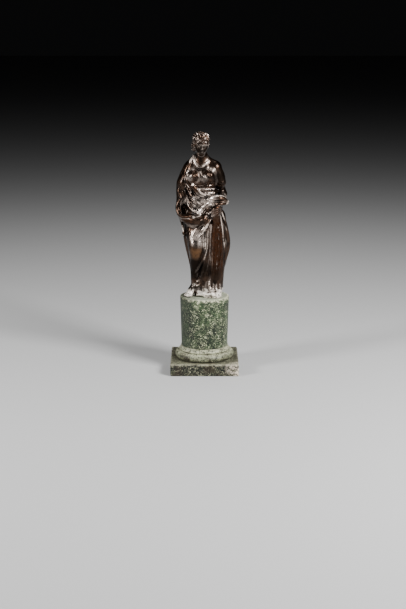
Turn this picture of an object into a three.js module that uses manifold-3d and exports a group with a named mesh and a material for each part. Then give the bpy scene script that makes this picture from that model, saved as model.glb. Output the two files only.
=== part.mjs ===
// A draped woman cast in bronze, standing on a drum of green marble and a moulded square base.
// Millimetres, +Z up, the front towards -Y. The origin is the centre of the base's underside.
// The figure is carved as a turner and a carver would: a turned blank whose every point is slid
// in, level, until it meets the clay. The clay is a blend of simple volumes with folds raised on it.
import * as THREE from "three";
import { mergeVertices } from "three/addons/utils/BufferGeometryUtils.js";
import Module from "manifold-3d";

// Driving dimensions
const PLINTH_SIDE = 72;
const PLINTH_HEIGHT = 12.3;
const TORUS_RADIUS = 31.2; // at its widest
const TORUS_HEIGHT = 8;
const BASE_HEIGHT = 25.7;
const DRUM_TOP_RADIUS = 26;
const DRUM_FOOT_RADIUS = 24.6;
const DRUM_HEIGHT = 53.5;
const FIGURE_HEIGHT = 172;
const FOOT_LEVEL = BASE_HEIGHT + DRUM_HEIGHT;

const BRONZE = { color: 0x4a2e20, roughness: 0.34, metalness: 0.9 };
const MARBLE = { color: 0x4d6350, roughness: 0.5, metalness: 0 };

const wasm = await Module();
wasm.setup();

// Numbers
const clamp = THREE.MathUtils.clamp;
const lerp = THREE.MathUtils.lerp;
const smooth = (x, low, high) => THREE.MathUtils.smoothstep(x, low, high);
const radians = THREE.MathUtils.degToRad;

// Clay volumes: each is a function of a point that gives how far it is outside the surface
const ball =
  ([cx, cy, cz], [rx, ry, rz]) =>
  (p) => {
    const x = (p.x - cx) / rx;
    const y = (p.y - cy) / ry;
    const z = (p.z - cz) / rz;
    const near = Math.sqrt(x * x + y * y + z * z);
    const slope = Math.sqrt((x / rx) ** 2 + (y / ry) ** 2 + (z / rz) ** 2);
    return slope > 1e-9 ? (near * (near - 1)) / slope : -Math.min(rx, ry, rz);
  };

// A limb or roll of cloth through knots of [x, y, z, radius]. Far off, its box is near enough.
const WELL_CLEAR = 8;
function limb(...knots) {
  const box = new THREE.Box3();
  for (const [x, y, z, radius] of knots) {
    const middle = new THREE.Vector3(x, y, z);
    box.union(new THREE.Box3(middle, middle).expandByScalar(radius));
  }
  return (p) => {
    const clear = box.distanceToPoint(p);
    if (clear > WELL_CLEAR) return clear;
    let best = Infinity;
    for (let i = 1; i < knots.length; i++) {
      const [ax, ay, az, ar] = knots[i - 1];
      const [bx, by, bz, br] = knots[i];
      const ex = bx - ax;
      const ey = by - ay;
      const ez = bz - az;
      const x = p.x - ax;
      const y = p.y - ay;
      const z = p.z - az;
      const t = clamp((x * ex + y * ey + z * ez) / (ex * ex + ey * ey + ez * ez), 0, 1);
      const gap = Math.sqrt((x - ex * t) ** 2 + (y - ey * t) ** 2 + (z - ez * t) ** 2);
      best = Math.min(best, gap - lerp(ar, br, t));
    }
    return best;
  };
}

// Volumes run together with a fillet of the given size, and one volume pressed into another
const join = (a, b, fillet) => {
  const h = Math.max(fillet - Math.abs(a - b), 0) / fillet;
  return Math.min(a, b) - (h * h * fillet) / 4;
};
const blend =
  (fillet, ...parts) =>
  (p) =>
    parts.reduce((sum, part) => join(sum, part(p), fillet), Infinity);
const press =
  (fillet, clay, ...tools) =>
  (p) =>
    tools.reduce((sum, tool) => -join(-sum, tool(p), fillet), clay(p));

// Body, legs and arms
const trunk = blend(
  6,
  ball([0.5, 1.5, 78], [17, 12.5, 14]),
  ball([-0.5, 0, 98], [14, 11, 16]),
  ball([-2.5, 0.5, 123], [15, 10.5, 16]),
  limb([-14.4, 2.5, 135.4, 5.4], [-5, 2, 140, 5], [10.4, 1.5, 136.2, 5.8]),
);
const bust = blend(
  3,
  ball([-11.4, -6.2, 127], [6.4, 6.6, 6.4]),
  ball([3.4, -6.4, 126.6], [6.4, 6.6, 6.4]),
);
const belly = ball([-4, -4, 99], [15, 10.5, 14]);
const overfold = limb(
  [-10, -7, 111, 2.2],
  [-5, -8.6, 110, 3],
  [2, -9.2, 109.6, 3.2],
  [8, -7.2, 110, 3],
  [12, -2.5, 111, 2.4],
);
const neck = limb([-3.6, 1.5, 138, 6.4], [-3.4, -0.2, 146, 5.7], [-3.9, -0.6, 152, 5.5]);
const standingLeg = limb([9, 1, 84, 11.5], [11, 0, 64, 10.5], [9.8, 0, 38, 8.6], [7, 0, 4, 8.2]);
const freeLeg = limb(
  [-8, -1, 84, 10.5],
  [-8.4, -7.5, 68, 9.4],
  [-8.8, -12, 55, 8.2],
  [-9, -12, 49.5, 7.2],
  [-9.6, -9.4, 40, 5.6],
  [-10.2, -6, 28, 4.6],
  [-9.8, -2.5, 10, 4.4],
);
const feet = blend(
  2,
  limb([-9.5, -1, 9, 4.8], [-12.8, -3.8, 6.2, 4.2], [-15.6, -6.4, 3.4, 3], [-19.6, -8.4, 1.6, 1.8]),
  limb([10, -2, 8, 6], [11.5, -10, 3.8, 4], [12.6, -14, 2.8, 3]),
);
const rightArm = limb(
  [-15.8, 2, 133, 5.2],
  [-19.6, 2.6, 124, 5.4],
  [-22.4, 3, 115, 5.9],
  [-24, 3, 94, 6],
);
const rightForearm = limb(
  [-23.5, 1.5, 88, 5.6],
  [-19, -7, 83.5, 5],
  [-10, -13, 82.5, 5],
  [-1, -16, 85.5, 4.6],
);
const leftSleeve = limb([11.2, 1.5, 134.6, 6], [15.4, 3.2, 124, 6], [16.4, 3.6, 119.6, 6]);
const leftArm = limb([14, 3, 126, 4.6], [17.2, 4, 114, 4.5], [18.2, 4, 109, 4.4]);
const leftForearm = limb([18.6, 3, 107.5, 4.2], [18.6, -12, 104, 3.8], [13.5, -19, 98, 3.2]);
const leftHand = blend(
  1.2,
  limb([14, -18.6, 98.2, 3], [12.2, -19.4, 91, 3]),
  limb([14, -21.4, 97.4, 2.3], [9.4, -22, 92.4, 2.3]),
);

// The mantle's masses: down the back and off both sides, over the right shoulder, from the left
// hand, and gathered between the forearm and that hand
const mantleBack = limb([-3, 5, 133, 7.5], [0, 5.5, 104, 10.5], [2, 5, 66, 13], [3, 5, 2, 13.5]);
const mantleFall = limb([-18, 4, 104, 7], [-14, 3.5, 72, 7], [-11.4, 2, 50, 5.8], [-6.6, 3, 28, 5]);
const shoulderCloth = limb(
  [-8.6, 2, 144.6, 3],
  [-11.5, 2.5, 141.5, 4.4],
  [-16, 2, 135, 5.4],
  [-21, 1.5, 120, 5.8],
);
const outerFall = limb(
  [17, -8, 90, 3.6],
  [19.3, -3.5, 68, 4.4],
  [16.6, -2, 44, 4],
  [13, -2, 18, 3.6],
  [11, -2, 3, 4.4],
);
const mantleEnd = limb(
  [12, -17, 88, 4.2],
  [12.4, -12.3, 74, 6.2],
  [12.2, -9, 40, 6.8],
  [11.2, -8, 8, 6.8],
);
const centreFall = limb([4.8, -10, 76, 4.6], [5.4, -9.8, 50, 5.2], [3.6, -8, 26, 5.6], [2, -5, 3, 6]);
const bundle = blend(
  3,
  limb([-6, -11.5, 84, 4.6], [1, -12.6, 91, 5], [9, -13.6, 99, 4.6]),
  limb([-8, -10.5, 78, 5], [0, -11.6, 83, 5], [8.5, -14, 90, 4]),
);
const hem = blend(
  3,
  ball([8.5, -8.5, 2], [9.5, 7, 7]),
  ball([-1, -4, 2], [9, 6, 6]),
  ball([6, -9, 9], [5.5, 4, 9]),
);

// Its rolls across the waist and its edges: round the neck, at the right elbow, past the knee
// and down both sides of what falls from the left hand
const neckline = limb(
  [-10.9, 0.4, 148.4, 0.9],
  [-10.8, -2.6, 144.6, 1.1],
  [-9, -5, 139.8, 1.2],
  [-5.1, -6.8, 136.4, 1.3],
  [-0.5, -6.2, 138.6, 1.2],
  [3, -3.6, 142.4, 1.1],
  [4.6, -0.4, 144.4, 1],
  [3.4, 3, 144.8, 0.9],
);
const rollHigh = limb(
  [-19.4, -3.4, 128.4, 1.3],
  [-17.2, -6.2, 122.8, 1.6],
  [-14, -8, 118.8, 1.9],
  [-10.3, -9.4, 114.6, 2.1],
  [-6.6, -11.2, 110.4, 2.2],
  [-3.4, -12.2, 108.4, 2.2],
  [1.6, -12.9, 107, 2.1],
  [7, -13.2, 106.4, 1.9],
  [11.5, -14.6, 105.2, 1.6],
);
const rollLow = limb(
  [-18.4, -2.6, 119, 1.8],
  [-15.6, -6.2, 112.6, 2.5],
  [-12.2, -9.2, 107, 2.9],
  [-8.4, -11.8, 104, 3.1],
  [-3.6, -13.2, 102.8, 3.1],
  [2.6, -13.6, 103, 2.7],
  [8.5, -14.6, 103.8, 2.2],
  [12.5, -16, 103.6, 1.7],
);
const cuff = limb(
  [-24.6, -2, 103.4, 1.8],
  [-27.6, -2, 97.5, 2.3],
  [-27.6, -3, 91.5, 2.4],
  [-25.4, -6, 87.2, 2.3],
  [-21.6, -9.8, 85.8, 2.1],
  [-16.6, -13.6, 86.4, 1.9],
  [-10.8, -16.4, 87.6, 1.7],
  [-5, -17.8, 89, 1.4],
);
const pocketRim = limb(
  [-17.6, -4.6, 107, 1],
  [-17.4, -8.6, 101, 1.2],
  [-15.4, -11.6, 96, 1.4],
  [-11.4, -14.2, 92.9, 1.5],
  [-6.5, -16.2, 91.4, 1.5],
  [-2, -17, 90.4, 1.3],
);
const rise = limb(
  [-7.4, -17, 87.6, 1.1],
  [-4.8, -17.2, 93, 1.4],
  [-1.5, -16.8, 97.8, 1.5],
  [2.4, -16.6, 101, 1.4],
  [8.7, -17.4, 103, 1.2],
);
const edgeFront = limb(
  [6.4, -17.8, 84.4, 1.1],
  [3.8, -16.4, 78, 1.3],
  [2.3, -15.4, 70, 1.4],
  [2.4, -15.6, 62, 1.4],
  [1.9, -15.3, 54, 1.4],
  [-0.4, -14.2, 45, 1.4],
  [-3.8, -13.2, 37, 1.3],
  [-7.4, -11.8, 30, 1.1],
);
const edgeBehind = limb(
  [5.1, -14, 70, 1.3],
  [5.2, -13.2, 58, 1.4],
  [3.9, -12.8, 46, 1.4],
  [0.8, -12, 35, 1.3],
  [-2.6, -10.9, 26, 1.2],
);
const longEdge = limb(
  [15.2, -17.4, 91, 1.1],
  [17.2, -15.4, 81, 1.3],
  [19.2, -12, 70.3, 1.4],
  [20.3, -8.4, 56.2, 1.4],
  [20, -7.4, 42.2, 1.4],
  [18, -8.4, 29.3, 1.4],
  [16, -9.8, 10, 1.2],
);
const sideEdge = limb(
  [17, -14, 95, 1.1],
  [19.4, -11.6, 87, 1.3],
  [21.8, -8, 78, 1.4],
  [23, -4.6, 67, 1.4],
  [22.2, -2, 54, 1.2],
);

// The cloth laid over the left wrist, the hollow at the right elbow and the tassel below it
const wristCloth = blend(
  0.7,
  ball([14, -13.4, 103], [9.4, 5.4, 4.4]),
  limb([3, -14.8, 104.6, 1.2], [8.7, -17.6, 106, 2], [15, -18.2, 106.2, 2.4], [20, -16, 105.2, 2]),
  limb([20, -16, 105.2, 2], [24, -12.6, 103, 1], [25.2, -11.4, 101.8, 0.6]),
  limb([6, -17, 99.6, 1], [11, -19.6, 100.4, 1.7], [16.4, -19.6, 100.4, 1.8], [21, -16.8, 100.4, 1.4]),
);
const pocket = blend(
  1,
  ball([-21.4, -6.4, 93.6], [3.9, 7, 5.8]),
  limb([-19, -11, 91, 2.3], [-12.5, -16.5, 90.4, 1.2]),
);
const tassel = blend(
  0.8,
  limb([-24.4, -2, 84, 2.4], [-23.2, -3.6, 77, 1.4], [-22.2, -4.4, 70, 0.9]),
  ball([-21.8, -4.6, 67.2], [1.3, 1.3, 1.6]),
);

// Head, in its own frame: face towards -Y, turned a little to her left and bowed
const HEAD_CENTRE = new THREE.Vector3(-4.1, -2.4, 159.4);
const HEAD_TURN = radians(14);
const HEAD_BOW = radians(12);
const headFrame = new THREE.Matrix4()
  .makeRotationFromEuler(new THREE.Euler(HEAD_BOW, 0, HEAD_TURN, "ZXY"))
  .setPosition(HEAD_CENTRE)
  .invert();
const skull = blend(
  3,
  ball([0, 1.2, 1.5], [6.7, 8.2, 8.4]),
  ball([0, -2.2, -3.4], [5.4, 6, 7]),
  ball([0, -5.6, -8.2], [2.4, 2.2, 2.1]),
);
const face = press(
  0.8,
  blend(0.8, skull, limb([0, -7.7, 0.6, 0.8], [0, -9, -2.6, 1.1])),
  ball([-2.5, -8.8, -0.2], [1.6, 1.5, 1.2]),
  ball([2.5, -8.8, -0.2], [1.6, 1.5, 1.2]),
);
const hair = blend(
  2,
  ball([0, 2.6, 3], [7.6, 8.8, 8.4]),
  ball([0, -1.4, 8.8], [7.4, 5.6, 4]),
  limb([-5, -4, 6.6, 2.4], [-6.6, -1.6, 1.4, 1.9], [-6, 3, -4, 2.4], [0, 8, -4, 3.4]),
  limb([5, -4, 6.6, 2.4], [6.6, -1.6, 1.4, 1.9], [6, 3, -4, 2.4], [0, 8, -4, 3.4]),
  limb([0, 9, 2, 4.2], [0, 10.6, -1, 3.6]),
);
const CURL_PITCH = 3;
const CURL_RELIEF = 0.45;
const CURLS_ROUND = 15;
const inHead = new THREE.Vector3();
const head = (p) => {
  inHead.copy(p).applyMatrix4(headFrame);
  const row = (inHead.z / CURL_PITCH) * Math.PI;
  const round = CURLS_ROUND * Math.atan2(inHead.x, -inHead.y - 2);
  const curls = Math.cos(row) * Math.cos(round + 0.6 * Math.sin(row));
  return join(face(inHead), hair(inHead) - CURL_RELIEF * curls, 0.6);
};

// All the clay, before the folds are raised on it
const cloth = blend(
  4,
  blend(5, trunk, standingLeg, freeLeg, mantleBack, mantleFall, shoulderCloth, centreFall),
  belly,
  outerFall,
  mantleEnd,
  hem,
  bust,
  neck,
  rightArm,
  rightForearm,
  leftSleeve,
  bundle,
);
const sleeves = blend(1.4, cloth, leftForearm, leftArm, overfold, feet);
const rolled = blend(
  0.9,
  sleeves,
  neckline,
  rollHigh,
  rollLow,
  cuff,
  longEdge,
  sideEdge,
  edgeFront,
  edgeBehind,
);
const figureClay = blend(0.7, press(1.2, rolled, pocket), pocketRim, rise, leftHand, wristCloth, tassel);
const bareClay = (p) => join(figureClay(p), head(p), 1.2);

// Level rays run in towards a centre line that leans with the pose. Angle 0 is the front, and
// 90 degrees the figure's left.
const centreLine = (z) => -5 * smooth(z, 100, 150);
const FAR_OUT = 45;
const ray = new THREE.Vector3();

// The last stretch is halved again and again, so that a ray that stepped in comes out on the skin
function slideIn(clay, angle, z) {
  const dx = Math.sin(angle);
  const dy = -Math.cos(angle);
  const cx = centreLine(z);
  const gapAt = (reach) => clay(ray.set(cx + dx * reach, dy * reach, z));
  let outside = FAR_OUT;
  let reach = FAR_OUT;
  for (let gap = gapAt(reach); gap > 0 && reach > 0.4; gap = gapAt(reach)) {
    outside = reach;
    reach -= Math.max(gap * 0.5, 0.05);
  }
  let inside = Math.max(reach, 0.4);
  for (let step = 0; step < 8; step++) {
    const middle = (inside + outside) / 2;
    if (gapAt(middle) > 0) outside = middle;
    else inside = middle;
  }
  return new THREE.Vector3(cx + dx * inside, dy * inside, z);
}

// From the front, a spot is given by its place across and its height
function pressBack(clay, x, z) {
  let y = -FAR_OUT;
  for (let gap = clay(ray.set(x, y, z)); gap > 0.02 && y < 8; gap = clay(ray.set(x, y, z))) {
    y += Math.max(gap * 0.6, 0.05);
  }
  return new THREE.Vector3(x, y, z);
}

// Which way is out of the clay
const NUDGE = 0.2;
function outward(clay, spot) {
  const normal = new THREE.Vector3();
  for (const axis of ["x", "y", "z"]) {
    const near = spot.clone();
    const far = spot.clone();
    near[axis] -= NUDGE;
    far[axis] += NUDGE;
    normal[axis] = clay(far) - clay(near);
  }
  return normal.normalize();
}

// A fold is a ridge along a path over the clay
function ridge(points, widths, heights) {
  const normals = points.map((spot) => outward(bareClay, spot));
  const reach = Math.max(...widths) + Math.max(...heights);
  const box = new THREE.Box3().setFromPoints(points).expandByScalar(reach);
  return { points, normals, box, widths, heights };
}
function along(knots) {
  const line = new THREE.SplineCurve(knots.map(([a, b]) => new THREE.Vector2(a, b)));
  return line.getPoints(5 * (knots.length - 1));
}

// Seen from the front, with knots of [across, height], or laid round with [degrees, height]
const seen = (knots) => along(knots).map(({ x, y }) => pressBack(bareClay, x, y));
const round = (knots) => along(knots).map(({ x, y }) => slideIn(bareClay, radians(x), y));
const fold = (points, width, height) =>
  ridge(
    points,
    points.map(() => width),
    points.map(() => height),
  );

// A family of folds between a first and a last. Each is as wide as the space to the next one,
// so that they narrow and sink where they run together.
const FOLD_SHARE = 0.55;
function family(count, lay, first, last, height) {
  const rows = Array.from({ length: count }, (_, i) => {
    const t = i / (count - 1);
    return lay(first.map(([a, z], k) => [lerp(a, last[k][0], t), lerp(z, last[k][1], t)]));
  });
  return rows.map((points, i) => {
    const beside = rows[i + 1] ?? rows[i - 1];
    const widths = points.map((spot, k) => FOLD_SHARE * Math.max(spot.distanceTo(beside[k]), 1.5));
    const widest = Math.max(...widths);
    return ridge(
      points,
      widths,
      widths.map((width) => height * Math.sqrt(width / widest)),
    );
  });
}

const edge = new THREE.Vector3();
const toPoint = new THREE.Vector3();
function lift({ points, normals, box, widths, heights }, p) {
  if (!box.containsPoint(p)) return 0;
  let best = 0;
  const last = points.length - 1;
  for (let i = 0; i < last; i++) {
    edge.subVectors(points[i + 1], points[i]);
    toPoint.subVectors(p, points[i]);
    const t = clamp(toPoint.dot(edge) / edge.lengthSq(), 0, 1);
    toPoint.addScaledVector(edge, -t);
    const off = toPoint.dot(normals[i]);
    const width = lerp(widths[i], widths[i + 1], t);
    const across = Math.sqrt(Math.max(toPoint.lengthSq() - off * off, 0)) / width;
    if (across >= 1 || Math.abs(off) > width + 1) continue;
    const way = (i + t) / last;
    const taper = Math.min(1, 5 * way, 5 * (1 - way));
    best = Math.max(best, lerp(heights[i], heights[i + 1], t) * taper * (1 - across * across));
  }
  return best;
}

const folds = [
  // The girdle and the pleats of the dress
  fold(seen([[-9.6, 118.4], [-0.5, 117.7], [9.5, 118.4]]), 1, 0.8),
  fold(seen([[-4.8, 135], [-2.6, 130.4], [0.3, 125.6]]), 1.3, 1.1),
  fold(seen([[3.6, 132.4], [2.6, 128.7], [0.9, 125.2]]), 1.2, 1),
  fold(seen([[-13.6, 134.6], [-12, 130.4], [-10.4, 126.6]]), 1.5, 0.9),
  family(3, seen, [[2.6, 142], [1.9, 138.4], [1.2, 134]], [[11, 141.8], [11, 131.9], [9.4, 119.5]], 0.9),
  // Down the mantle on the right shoulder and upper arm, to the hollow at the elbow
  family(3, seen, [[-12.1, 146], [-17, 133], [-17.4, 126]], [[-19, 138], [-24.6, 121], [-26.4, 112]], 1),
  family(3, seen, [[-28, 116], [-26.6, 109], [-24, 101]], [[-22.2, 121], [-20.4, 113], [-18.4, 104]], 1.1),
  // Two sags below the rolls across the waist
  fold(seen([[-12.9, 107.2], [-9.3, 102.5], [-4.6, 99], [1, 98.4]]), 1.6, 1.2),
  fold(seen([[-14.6, 104], [-12.6, 99.5], [-9, 96], [-4, 94.4]]), 1.6, 1.1),
  // Up from the waist and the forearm to the left hand
  fold(seen([[-3, 89], [0.6, 94], [4, 97.6], [8, 99.6]]), 1.7, 1.3),
  fold(seen([[-1, 86], [2.6, 91], [5.4, 94], [7, 96]]), 1.6, 1.2),
  fold(seen([[-5, 78], [-0.6, 82], [3.6, 86]]), 1.6, 1),
  // Down from the hand over the thigh
  fold(seen([[5, 86], [0.4, 78], [-4.3, 70.7], [-10.6, 63]]), 1.6, 1.4),
  fold(seen([[6, 80.6], [2.8, 74.6], [-2.2, 67.4], [-8.2, 60.8]]), 1.5, 1.3),
  fold(seen([[1.6, 82.6], [-4, 77.6], [-9.6, 71.6], [-14.6, 63.6]]), 1.7, 0.9),
  family(2, seen, [[-14.6, 77], [-16, 66], [-15.8, 55]], [[-19, 76], [-19, 64], [-17.4, 52]], 1),
  // The long fall from the left hand
  family(
    3,
    seen,
    [[9.4, 86], [8.8, 66], [7.6, 40], [5.6, 12]],
    [[14, 86], [16.4, 66], [16, 40], [13.4, 12]],
    1.7,
  ),
  // Between the legs, and three folds over the ankle
  family(3, seen, [[-5, 27], [-4.6, 18], [-4.6, 8]], [[3, 30], [3, 18], [2.6, 8]], 1),
  family(3, seen, [[-14.6, 24], [-10.4, 21.6], [-5, 24]], [[-15, 14], [-10.4, 11.6], [-5, 14]], 1.1),
  // The left sleeve above its hem
  fold(seen([[12.6, 118], [16.6, 117.4], [21, 119.6]]), 1.4, 0.9),
  // The skirt from the left side round the back to the right
  family(7, round, [[86, 82], [85, 50], [84, 3]], [[258, 76], [254, 50], [250, 6]], 2.4),
  // The mantle over the back, from the right shoulder to the left hip
  family(
    5,
    round,
    [[-114, 140], [-150, 128], [-190, 111], [-236, 103]],
    [[-107, 92], [-150, 82], [-190, 73], [-244, 77]],
    2,
  ),
].flat();

const finishedClay = (p) => {
  let raised = 0;
  for (const each of folds) raised = Math.max(raised, lift(each, p));
  return bareClay(p) - raised;
};

// The turned blank: rings close together where the form is small
const RING_BANDS = [
  [0, 18, 3],
  [18, 76, 4.8],
  [76, 106, 2.3],
  [106, 134, 2.8],
  [134, 147, 2.2],
  [147, 171.5, 1.9],
];
const SIDES = 67;
const TRIAL_SIDES = 240;
const BEND_SHARE = 0.5;
function ringHeights() {
  const heights = RING_BANDS.flatMap(([low, high, pitch]) => {
    const steps = Math.round((high - low) / pitch);
    return Array.from({ length: steps }, (_, i) => lerp(low, high, i / steps));
  });
  return [...heights, RING_BANDS.at(-1)[1]];
}

// How much of a ring's points each step round it deserves: by its length and by how it bends
function ringNeed(z) {
  const trial = Array.from({ length: TRIAL_SIDES }, (_, k) =>
    slideIn(finishedClay, (k / TRIAL_SIDES) * 2 * Math.PI, z),
  );
  const at = (k) => trial[(k + TRIAL_SIDES) % TRIAL_SIDES];
  const lengths = trial.map((spot, k) => spot.distanceTo(at(k + 1)));
  const bends = trial.map((spot, k) => {
    const before = spot.clone().sub(at(k - 1));
    const after = at(k + 1).clone().sub(spot);
    return Math.min(before.angleTo(after), 1);
  });
  const total = (row) => row.reduce((sum, value) => sum + value, 0);
  const [whole, turning] = [total(lengths), total(bends)];
  return lengths.map((length, k) => length / whole + (BEND_SHARE * bends[k]) / turning);
}

// Each step's need is shared with its neighbours round the ring and above and below it
function evenOut(needs) {
  return needs.map((row, level) =>
    row.map((_, k) => {
      let sum = 0;
      for (let up = -2; up <= 2; up++) {
        const near = needs[clamp(level + up, 0, needs.length - 1)];
        for (let on = -2; on <= 2; on++) {
          sum += near[(k + on + TRIAL_SIDES) % TRIAL_SIDES];
        }
      }
      return sum;
    }),
  );
}
function ringAngles(need) {
  const whole = need.reduce((sum, value) => sum + value, 0);
  const angles = [];
  let passed = 0;
  need.forEach((value, k) => {
    while (angles.length < SIDES && (angles.length / SIDES) * whole <= passed + value) {
      const part = ((angles.length / SIDES) * whole - passed) / value;
      angles.push(((k + part) / TRIAL_SIDES) * 2 * Math.PI);
    }
    passed += value;
  });
  return angles;
}

function carveFigure() {
  const heights = ringHeights();
  const angles = evenOut(heights.map(ringNeed)).map(ringAngles);
  const profile = [
    new THREE.Vector2(0, 0),
    ...heights.map((z) => new THREE.Vector2(1, z)),
    new THREE.Vector2(0, FIGURE_HEIGHT),
  ];
  const blank = new THREE.LatheGeometry(profile, SIDES);
  const spots = blank.getAttribute("position");
  const spot = new THREE.Vector3();
  for (let i = 0; i < spots.count; i++) {
    const level = i % profile.length;
    const side = Math.floor(i / profile.length) % SIDES;
    const { x: onAxis, y: z } = profile[level];
    if (onAxis) spot.copy(slideIn(finishedClay, angles[level - 1][side], z));
    else spot.set(centreLine(z), level ? -2 : 0, z);
    spots.setXYZ(i, spot.x, spot.y, spot.z);
  }
  return splitAlongFolds(blank);
}

// Of a square's two diagonals, the one whose middle lies nearer the clay divides it
function splitAlongFolds(blank) {
  const spots = blank.getAttribute("position");
  const { array } = blank.index;
  const corner = (i) => new THREE.Vector3().fromBufferAttribute(spots, i);
  const offClay = (i, j) => Math.abs(finishedClay(corner(i).add(corner(j)).multiplyScalar(0.5)));
  for (let i = 0; i + 5 < array.length; i += 6) {
    const [a, b, d, c] = [array[i], array[i + 1], array[i + 2], array[i + 3]];
    const square = array[i + 4] === d && array[i + 5] === b;
    if (square && offClay(a, c) < offClay(b, d)) array.set([a, b, c, c, d, a], i);
  }
  return blank;
}

// Solids for cutting and joining
function solid(geometry) {
  const bare = geometry.clone();
  bare.deleteAttribute("normal");
  bare.deleteAttribute("uv");
  const merged = mergeVertices(bare, 1e-4);
  const mesh = new wasm.Mesh({
    numProp: 3,
    vertProperties: merged.getAttribute("position").array,
    triVerts: new Uint32Array(merged.index.array),
  });
  return new wasm.Manifold(mesh);
}
function geometryOf(made) {
  const { vertProperties, triVerts } = made.getMesh();
  const geometry = new THREE.BufferGeometry();
  geometry.setAttribute("position", new THREE.BufferAttribute(vertProperties, 3));
  geometry.setIndex(new THREE.BufferAttribute(triVerts, 1));
  geometry.computeVertexNormals();
  return geometry;
}

// A lump to cut away: a rough ball with its own half sizes
const lump = ([x, y, z], [rx, ry, rz]) =>
  solid(new THREE.IcosahedronGeometry(1, 1).scale(rx, ry, rz).translate(x, y, z));
const cutAway = (whole, lumps) =>
  geometryOf(lumps.reduce((left, each) => left.subtract(each), solid(whole)));

// The hem arches clear of the stone between the feet
const figure = () => cutAway(carveFigure(), [lump([-4, -9, 0], [5, 5, 1.8])]);

// A turned stone, from a profile of [radius, height]
const turned = (profile, sides) =>
  new THREE.LatheGeometry(
    profile.map(([r, z]) => new THREE.Vector2(r, z)),
    sides,
  ).rotateX(Math.PI / 2);

// The drum widens a little upwards. Its rim is worn and chipped at the front.
const DRUM_SIDES = 40;
const RIM = 1.2;
function rimChip(degrees, size) {
  const turn = radians(degrees);
  const x = DRUM_TOP_RADIUS * Math.sin(turn);
  const y = -DRUM_TOP_RADIUS * Math.cos(turn);
  return lump([x, y, DRUM_HEIGHT], [size, size, size * 0.7]);
}
function drum() {
  const whole = turned(
    [
      [0, 0],
      [DRUM_FOOT_RADIUS, 0],
      [DRUM_FOOT_RADIUS, 2],
      [DRUM_TOP_RADIUS, DRUM_HEIGHT - RIM],
      [DRUM_TOP_RADIUS - RIM, DRUM_HEIGHT],
      [0, DRUM_HEIGHT],
    ],
    DRUM_SIDES,
  );
  return cutAway(whole, [rimChip(-38, 2.4), rimChip(-24, 1.8), rimChip(30, 1.6)]);
}

// The base: a square plinth, a half-round moulding, a fillet and a hollow up to the drum
const MOULDING_SIDES = 44;
const ROLL_STEPS = 7;
const FILLET_RADIUS = 27;
function base() {
  const plinth = new THREE.BoxGeometry(PLINTH_SIDE, PLINTH_SIDE, PLINTH_HEIGHT);
  plinth.translate(0, 0, PLINTH_HEIGHT / 2);
  const roll = TORUS_HEIGHT / 2;
  const torus = Array.from({ length: ROLL_STEPS + 1 }, (_, i) => {
    const turn = radians(lerp(-90, 90, i / ROLL_STEPS));
    return [
      TORUS_RADIUS - roll + roll * Math.cos(turn),
      PLINTH_HEIGHT + roll + roll * Math.sin(turn),
    ];
  });
  const sunk = PLINTH_HEIGHT - 1;
  const top = PLINTH_HEIGHT + TORUS_HEIGHT;
  const moulding = turned(
    [
      [0, sunk],
      [TORUS_RADIUS - roll, sunk],
      ...torus,
      [FILLET_RADIUS, top + 0.4],
      [FILLET_RADIUS, top + 2],
      [25.6, BASE_HEIGHT - 1.6],
      [25.2, BASE_HEIGHT],
      [0, BASE_HEIGHT],
    ],
    MOULDING_SIDES,
  );
  const whole = geometryOf(solid(plinth).add(solid(moulding)));
  const corner = PLINTH_SIDE / 2;
  return cutAway(whole, [
    lump([corner + 1.4, -corner - 1, 7], [4.4, 3.6, 5]),
    lump([-corner - 0.4, -corner - 0.4, 0.4], [2.6, 2.6, 2.4]),
  ]);
}

const group = new THREE.Group();
const add = (name, geometry, finish, z) => {
  const mesh = new THREE.Mesh(geometry, new THREE.MeshStandardMaterial(finish));
  mesh.name = name;
  mesh.position.z = z;
  group.add(mesh);
};
add("bronze_figure", figure(), BRONZE, FOOT_LEVEL);
add("column_drum", drum(), MARBLE, BASE_HEIGHT);
add("moulded_base", base(), MARBLE, 0);

export default group;
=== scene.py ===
"""A draped woman in bronze on a drum of green marble and a moulded square marble base.

The figure is sculpted in clay: simple volumes run together, with folds raised on them. A rough
maquette of the same volumes is remeshed finer and finer, and its points are moved on to the
clay. The two stones are turned and cut, then chipped and worn. Clay sizes are millimetres from
the spot where the figure stands: across to her left, backwards and up.
"""
import math
import bpy
import bmesh
import numpy as np
from mathutils import Matrix, Vector


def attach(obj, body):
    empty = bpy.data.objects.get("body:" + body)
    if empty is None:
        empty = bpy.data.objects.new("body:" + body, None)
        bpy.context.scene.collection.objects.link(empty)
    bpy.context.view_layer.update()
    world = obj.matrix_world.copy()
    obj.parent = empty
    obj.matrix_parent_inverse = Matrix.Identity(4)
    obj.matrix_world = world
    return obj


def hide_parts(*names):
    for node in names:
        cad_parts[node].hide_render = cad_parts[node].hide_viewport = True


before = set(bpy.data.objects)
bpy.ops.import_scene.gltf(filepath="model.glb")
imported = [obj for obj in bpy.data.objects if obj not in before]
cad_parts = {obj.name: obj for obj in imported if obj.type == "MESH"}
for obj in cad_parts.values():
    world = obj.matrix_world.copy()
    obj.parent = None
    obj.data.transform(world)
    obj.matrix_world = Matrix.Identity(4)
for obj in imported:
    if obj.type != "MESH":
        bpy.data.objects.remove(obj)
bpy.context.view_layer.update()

# Driving dimensions, in millimetres
MM = 0.001
PLINTH_SIDE = 72
PLINTH_HEIGHT = 12.3
TORUS_RADIUS = 31.2
TORUS_HEIGHT = 8
FILLET_RADIUS = 27
BASE_HEIGHT = 25.7
DRUM_TOP_RADIUS = 26
DRUM_FOOT_RADIUS = 24.6
DRUM_HEIGHT = 53.5
FOOT_LEVEL = BASE_HEIGHT + DRUM_HEIGHT

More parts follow.
